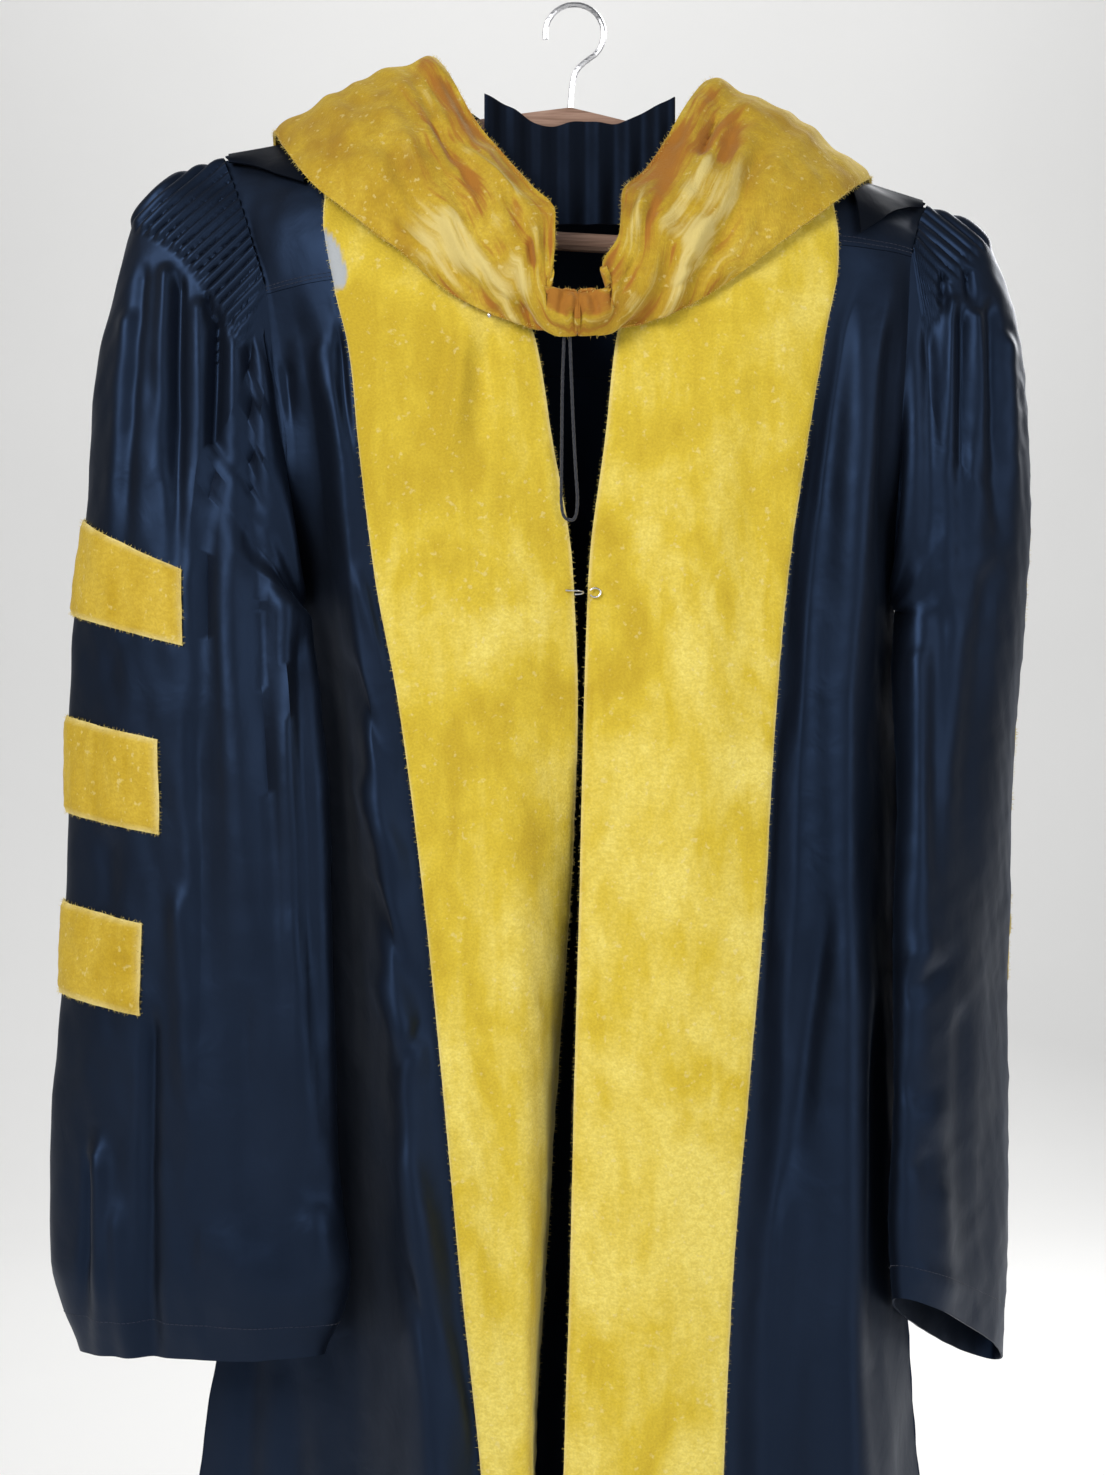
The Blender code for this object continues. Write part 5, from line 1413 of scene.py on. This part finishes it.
def fuzz_tree():
    """Nodes that stand short fibres on a velvet piece's marked edges."""
    tree, start, end = new_tree("Velvet fuzz", "Velvet", ("Density", "Float"), ("Fibre Length", "Float"),
                                ("Fibre Radius", "Float"), ("Lean", "Float"), ("Seed", "Int"),
                                ("Finish", "Material"))
    given = start.outputs
    edge = add_node(tree, "GeometryNodeInputNamedAttribute", {"Name": "edge"})
    tight = add_node(tree, "ShaderNodeMath", {0: edge.outputs["Attribute"], 1: 3}, operation="POWER")
    thick = add_node(tree, "ShaderNodeMath", {0: tight.outputs["Value"], 1: given["Density"]},
                     operation="MULTIPLY")
    spread = add_node(tree, "GeometryNodeDistributePointsOnFaces", {
        "Mesh": given["Velvet"], "Density": thick.outputs["Value"], "Seed": given["Seed"]})
    chance = add_node(tree, "FunctionNodeRandomValue", {
        0: (-1, -1, -1), 1: (1, 1, 1), "Seed": given["Seed"]}, data_type="FLOAT_VECTOR")
    lean = add_node(tree, "ShaderNodeVectorMath", {0: chance.outputs["Value"], "Scale": given["Lean"]},
                    operation="SCALE")
    way = add_node(tree, "ShaderNodeVectorMath", {0: spread.outputs["Normal"], 1: lean.outputs["Vector"]},
                   operation="ADD")
    fibre = add_node(tree, "GeometryNodeMeshCone", {
        "Vertices": 3, "Radius Top": 0.0, "Radius Bottom": given["Fibre Radius"],
        "Depth": given["Fibre Length"]})
    laid = add_node(tree, "GeometryNodeInstanceOnPoints", {
        "Points": spread.outputs["Points"], "Instance": fibre.outputs["Mesh"],
        "Rotation": turned_up(tree, way.outputs["Vector"])})
    return finish_tree(tree, start, end, laid)


def raise_fuzz(stitches):
    """Short fibres along the edges of every velvet piece."""
    tree = fuzz_tree()
    velvet = sorted(piece.name for piece in bpy.data.objects if piece.name.startswith("velvet_"))
    for seed, name in enumerate(velvet):
        maker = bpy.data.objects.new("fuzz_maker", bpy.data.objects[name].data.copy())
        bpy.context.scene.collection.objects.link(maker)
        made = plain_mesh(maker, name.replace("velvet", "fuzz"), tree, {
            "Density": stitches.fuzz_density, "Fibre Length": stitches.fibre_length,
            "Fibre Radius": stitches.fibre_radius, "Lean": FIBRE_LEAN, "Seed": seed,
            "Finish": finish("velvet fibre"),
        })
        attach(made, BODY)


def stitch_tree():
    """Nodes that lay short stitches along a line, realized and with their thread's finish."""
    tree, start, end = new_tree("Stitch row", "Line", ("Spacing", "Float"), ("Stitch Length", "Float"),
                                ("Thread Radius", "Float"), ("Finish", "Material"))
    given = start.outputs
    spaced = add_node(tree, "GeometryNodeResampleCurve", {
        "Curve": given["Line"], "Length": given["Spacing"]}, mode="LENGTH")
    stitch = add_node(tree, "GeometryNodeMeshCylinder", {
        "Vertices": 6, "Radius": given["Thread Radius"], "Depth": given["Stitch Length"]})
    tangent = add_node(tree, "GeometryNodeInputTangent", {})
    laid = add_node(tree, "GeometryNodeInstanceOnPoints", {
        "Points": spaced.outputs["Curve"], "Instance": stitch.outputs["Mesh"],
        "Rotation": turned_up(tree, tangent.outputs["Tangent"])})
    return finish_tree(tree, start, end, laid)


def lay_stitches(name, lines, settings):
    """One mesh of navy stitches along several lines of points."""
    curve = bpy.data.curves.new(name + "_line", "CURVE")
    curve.dimensions = "3D"
    for points in lines:
        spline = curve.splines.new("POLY")
        spline.points.add(len(points) - 1)
        placed = np.concatenate([points * MM, np.ones((len(points), 1))], axis=1)
        spline.points.foreach_set("co", placed.ravel())
    rows = bpy.data.objects.new(name + "_line", curve)
    bpy.context.scene.collection.objects.link(rows)
    made = plain_mesh(rows, name, stitch_tree(), {
        "Spacing": settings.spacing, "Stitch Length": settings.stitch, "Thread Radius": settings.thread,
        "Finish": finish("navy thread"),
    })
    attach(made, BODY)


def seam_lines(cloth):
    """Lines for the navy stitches: beside the yoke seams and above the sleeves' hems."""
    lines = []
    for rows, sign in ((FRONT_LEFT, 1), (FRONT_RIGHT, -1)):
        across = np.linspace(*STITCHED, STITCH_POINTS[0])
        for above in STITCH_ROWS:
            level = rows[SEAM_ROW][1] + above
            face, normal = front_face(rows, sign, across, np.array([level + 1, level, level - 1]), cloth)
            lines.append(face[1] + normal[1] * STITCH_PROUD)
    for side in ("left", "right"):
        places = np.linspace(0, 1, STITCH_POINTS[1])
        face = sleeve_face(side, places[:-1], np.linspace(*HEM_RINGS), cloth)
        lines.append(np.concatenate([face[1], face[1][:1]]))
    return lines


def make_floor(stage):
    """A pale floor that rises in a curve behind the gown."""
    floor_z = float(CAD_BOX[0].z) - stage.floor_gap
    radius = stage.sweep_radius
    wall_y = stage.wall_distance
    profile = [(-STAGE_REACH, floor_z)]
    for turn in np.linspace(0, math.pi / 2, SWEEP_STEPS):
        back, up = radius * math.sin(turn), radius * math.cos(turn)
        profile.append((wall_y - radius + back, floor_z + radius - up))
    profile.append((wall_y, floor_z + STAGE_REACH))
    points = [(x, y, z) for y, z in profile for x in (-STAGE_REACH, STAGE_REACH)]
    faces = [(2 * i, 2 * i + 1, 2 * i + 3, 2 * i + 2) for i in range(len(profile) - 1)]
    mesh = bpy.data.meshes.new("stage_floor")
    mesh.from_pydata(points, [], faces)
    mesh.shade_smooth()
    mesh.materials.append(stage_finish("pale floor", stage.floor_colour))
    floor = bpy.data.objects.new("stage_floor", mesh)
    bpy.context.scene.collection.objects.link(floor)


def make_lights(stage):
    """Even light from all round, three soft lights on the gown and one on the backdrop."""
    world = bpy.data.worlds.new("soft room")
    world.use_nodes = True
    background = world.node_tree.nodes["Background"]
    background.inputs["Color"].default_value = ROOM_COLOUR
    background.inputs["Strength"].default_value = stage.room_light
    bpy.context.scene.world = world
    wall_y = stage.wall_distance
    for name, place, aim_y, size, power in (
            ("key light", (-1.5, -2.3, 0.9), 0, 1.5, stage.key_power),
            ("fill light", (1.9, -2.0, 0.0), 0, 1.8, stage.fill_power),
            ("back light", (1.5, 2.4, 1.0), 0, 1.5, stage.back_power),
            ("backdrop light", (0, wall_y - 3.0, 3.0), wall_y, 3.0, stage.backdrop_power)):
        light = bpy.data.lights.new(name, "AREA")
        light.size = size
        light.energy = power
        lamp = bpy.data.objects.new(name, light)
        lamp.location = place
        lamp.visible_camera = False
        way = Vector((0, aim_y, LIGHT_AIM)) - Vector(place)
        lamp.rotation_euler = way.to_track_quat("-Z", "Y").to_euler()
        bpy.context.scene.collection.objects.link(lamp)


def make_camera():
    """The photograph's camera, level and square to the gown's front."""
    camera = bpy.data.cameras.new("camera")
    camera.sensor_fit = "AUTO"
    camera.sensor_width = SENSOR
    camera.lens = SENSOR * CAMERA_DISTANCE / (PHOTO_HEIGHT * PHOTO_PIXEL)
    camera.clip_start, camera.clip_end = CAMERA_CLIP
    seen_from = bpy.data.objects.new("camera", camera)
    seen_from.location = (CAMERA_X, GOWN_FRONT - CAMERA_DISTANCE, CAMERA_Z)
    seen_from.rotation_euler = (math.radians(90), 0, 0)
    scene = bpy.context.scene
    scene.collection.objects.link(seen_from)
    scene.camera = seen_from
    scene.view_settings.view_transform = "Standard"


class ClothSettings(bpy.types.PropertyGroup):
    satin_wall: FloatProperty(
        name="Satin Wall", description="Thickness of the satin with its lining, in millimetres",
        default=1.3, min=0.5, max=2.0)
    velvet_wall: FloatProperty(
        name="Velvet Pile", description="Thickness of the velvet with its pile, in millimetres",
        default=2.4, min=1.0, max=3.5)
    velvet_crown: FloatProperty(
        name="Facing Crown", description="How far the facings swell between their edges, in millimetres",
        default=1.2, min=0.0, max=3.0)
    pleat_height: FloatProperty(
        name="Pleat Height", description="Height of the pleats at the sleeves' tops, in millimetres",
        default=3.6, min=0.0, max=5.0)
    unevenness: FloatProperty(
        name="Unevenness", description="Height of the cloth's small waves, in millimetres",
        default=0.9, min=0.0, max=2.0)
    satin_colour: FloatVectorProperty(
        name="Satin", description="Colour of the gown's cloth", subtype="COLOR", size=3,
        default=(0.0036, 0.0042, 0.0058), min=0.0, max=1.0)
    satin_sheen: FloatProperty(
        name="Satin Sheen", description="Strength of the satin's soft sheen", subtype="FACTOR",
        default=0.03, min=0.0, max=1.0)
    velvet_colour: FloatVectorProperty(
        name="Velvet", description="Colour of the facings, bars and hood band", subtype="COLOR", size=3,
        default=(0.64, 0.475, 0.042), min=0.0, max=1.0)


class StitchSettings(bpy.types.PropertyGroup):
    spacing: FloatProperty(
        name="Spacing", description="Distance from one stitch to the next", subtype="DISTANCE",
        unit="LENGTH", default=0.0034, min=0.001, max=0.01)
    stitch: FloatProperty(
        name="Stitch Length", description="Length of one stitch", subtype="DISTANCE",
        unit="LENGTH", default=0.0024, min=0.0005, max=0.008)
    thread: FloatProperty(
        name="Thread Radius", description="Radius of the sewing thread", subtype="DISTANCE",
        unit="LENGTH", default=0.00022, min=0.0001, max=0.001)
    fuzz_density: FloatProperty(
        name="Fibre Density", description="Fibres to a square metre of the velvet's edges",
        default=500000.0, min=0.0, max=2000000.0)
    fibre_length: FloatProperty(
        name="Fibre Length", description="Length of the fibres at the velvet's edges", subtype="DISTANCE",
        unit="LENGTH", default=0.0026, min=0.0005, max=0.006)
    fibre_radius: FloatProperty(
        name="Fibre Radius", description="Radius of a fibre at its foot", subtype="DISTANCE",
        unit="LENGTH", default=0.00016, min=0.00005, max=0.001)


class StageSettings(bpy.types.PropertyGroup):
    floor_gap: FloatProperty(
        name="Floor Gap", description="Height of the gown's hem above the floor", subtype="DISTANCE",
        unit="LENGTH", default=0.09, min=0.0, max=1.0)
    wall_distance: FloatProperty(
        name="Backdrop", description="Distance from the gown to the backdrop", subtype="DISTANCE",
        unit="LENGTH", default=5.5, min=0.5, max=8.0)
    sweep_radius: FloatProperty(
        name="Sweep", description="Radius of the curve from the floor into the backdrop",
        subtype="DISTANCE", unit="LENGTH", default=2.5, min=0.1, max=4.0)
    floor_colour: FloatVectorProperty(
        name="Floor", description="Colour of the floor and backdrop", subtype="COLOR", size=3,
        default=(0.9, 0.895, 0.885), min=0.0, max=1.0)
    room_light: FloatProperty(
        name="Room Light", description="Strength of the even light from all round",
        default=0.2, min=0.0, max=3.0)
    key_power: FloatProperty(
        name="Key Light", description="Power of the main light, in watts", default=70.0, min=0.0, max=500.0)
    fill_power: FloatProperty(
        name="Fill Light", description="Power of the light from the right, in watts",
        default=25.0, min=0.0, max=500.0)
    back_power: FloatProperty(
        name="Back Light", description="Power of the light behind the gown, in watts",
        default=60.0, min=0.0, max=500.0)
    backdrop_power: FloatProperty(
        name="Backdrop Light", description="Power of the light on the backdrop, in watts",
        default=85.0, min=0.0, max=2000.0)


class GOWN_OT_finishes(bpy.types.Operator):
    """Make the cloth, wood, metal and thread finishes"""
    bl_idname = "gown.finishes"
    bl_label = "Finishes"

    def execute(self, context):
        make_finishes(context.scene.gown_cloth)
        return {"FINISHED"}


class GOWN_OT_stage(bpy.types.Operator):
    """Set the floor, the lights and the camera"""
    bl_idname = "gown.stage"
    bl_label = "Stage"

    def execute(self, context):
        make_floor(context.scene.gown_stage)
        make_lights(context.scene.gown_stage)
        make_camera()
        return {"FINISHED"}


class GOWN_OT_loop(bpy.types.Operator):
    """Hang the cord loop below the hood's V"""
    bl_idname = "gown.loop"
    bl_label = "Cord Loop"

    def execute(self, context):
        make_loop()
        return {"FINISHED"}


class GOWN_OT_fronts(bpy.types.Operator):
    """Hang the yokes and front panels in navy satin"""
    bl_idname = "gown.fronts"
    bl_label = "Fronts"

    def execute(self, context):
        make_fronts(context.scene.gown_cloth)
        return {"FINISHED"}


class GOWN_OT_facings(bpy.types.Operator):
    """Lay the velvet facings on the fronts"""
    bl_idname = "gown.facings"
    bl_label = "Facings"

    def execute(self, context):
        make_facings(context.scene.gown_cloth)
        return {"FINISHED"}


class GOWN_OT_back(bpy.types.Operator):
    """Hang the back and its yoke"""
    bl_idname = "gown.back"
    bl_label = "Back"

    def execute(self, context):
        make_back(context.scene.gown_cloth)
        return {"FINISHED"}


class GOWN_OT_sleeves(bpy.types.Operator):
    """Hang the pleated sleeves with their velvet bars"""
    bl_idname = "gown.sleeves"
    bl_label = "Sleeves"

    def execute(self, context):
        make_sleeves(context.scene.gown_cloth)
        return {"FINISHED"}


class GOWN_OT_hood(bpy.types.Operator):
    """Drape the hood's velvet band and black cloth"""
    bl_idname = "gown.hood"
    bl_label = "Hood"

    def execute(self, context):
        make_hood_bands(context.scene.gown_cloth)
        make_hood_shell(context.scene.gown_cloth)
        make_flaps(context.scene.gown_cloth)
        make_neck(context.scene.gown_cloth)
        return {"FINISHED"}


class GOWN_OT_stitches(bpy.types.Operator):
    """Sew the stitch rows and raise the fibres along the velvet's edges"""
    bl_idname = "gown.stitches"
    bl_label = "Stitches and Fibres"

    def execute(self, context):
        cloth = context.scene.gown_cloth
        stitches = context.scene.gown_stitches
        lay_stitches("seam_stitches", seam_lines(cloth), stitches)
        raise_fuzz(stitches)
        return {"FINISHED"}


class GOWN_OT_hanger(bpy.types.Operator):
    """Finish the wooden hanger and the small metal pieces"""
    bl_idname = "gown.hanger"
    bl_label = "Hanger and Metal"

    def execute(self, context):
        for name, material in CARRIED_OVER.items():
            frame["nodes"][name].data.materials.clear()
            frame["nodes"][name].data.materials.append(finish(material))
        return {"FINISHED"}


class GOWN_PT_panel(bpy.types.Panel):
    """Sizes, colours and steps of the gown"""
    bl_idname = "GOWN_PT_panel"
    bl_label = "Graduation Gown"
    bl_space_type = "VIEW_3D"
    bl_region_type = "UI"
    bl_category = "Gown"

    def draw(self, context):
        for group in ("gown_cloth", "gown_stitches", "gown_stage"):
            settings = getattr(context.scene, group)
            box = self.layout.box()
            for name in settings.__annotations__:
                box.prop(settings, name)
        for step in STEPS:
            self.layout.operator(step.bl_idname)


STEPS = (GOWN_OT_finishes, GOWN_OT_stage, GOWN_OT_loop, GOWN_OT_fronts, GOWN_OT_facings, GOWN_OT_back,
         GOWN_OT_sleeves, GOWN_OT_hood, GOWN_OT_stitches, GOWN_OT_hanger)
CLASSES = (ClothSettings, StitchSettings, StageSettings) + STEPS + (GOWN_PT_panel,)


def register():
    """Add the gown's operators, settings and panel."""
    for item in CLASSES:
        bpy.utils.register_class(item)
    bpy.types.Scene.gown_cloth = PointerProperty(type=ClothSettings)
    bpy.types.Scene.gown_stitches = PointerProperty(type=StitchSettings)
    bpy.types.Scene.gown_stage = PointerProperty(type=StageSettings)


def unregister():
    """Take them away again."""
    del bpy.types.Scene.gown_stage
    del bpy.types.Scene.gown_stitches
    del bpy.types.Scene.gown_cloth
    for item in reversed(CLASSES):
        bpy.utils.unregister_class(item)


def main():
    """Dress the gown step by step."""
    register()
    bpy.ops.gown.finishes()
    bpy.ops.gown.stage()
    bpy.ops.gown.loop()
    bpy.ops.gown.fronts()
    bpy.ops.gown.facings()
    bpy.ops.gown.back()
    bpy.ops.gown.sleeves()
    bpy.ops.gown.hood()
    bpy.ops.gown.stitches()
    bpy.ops.gown.hanger()


if __name__ == "__main__":
    main()
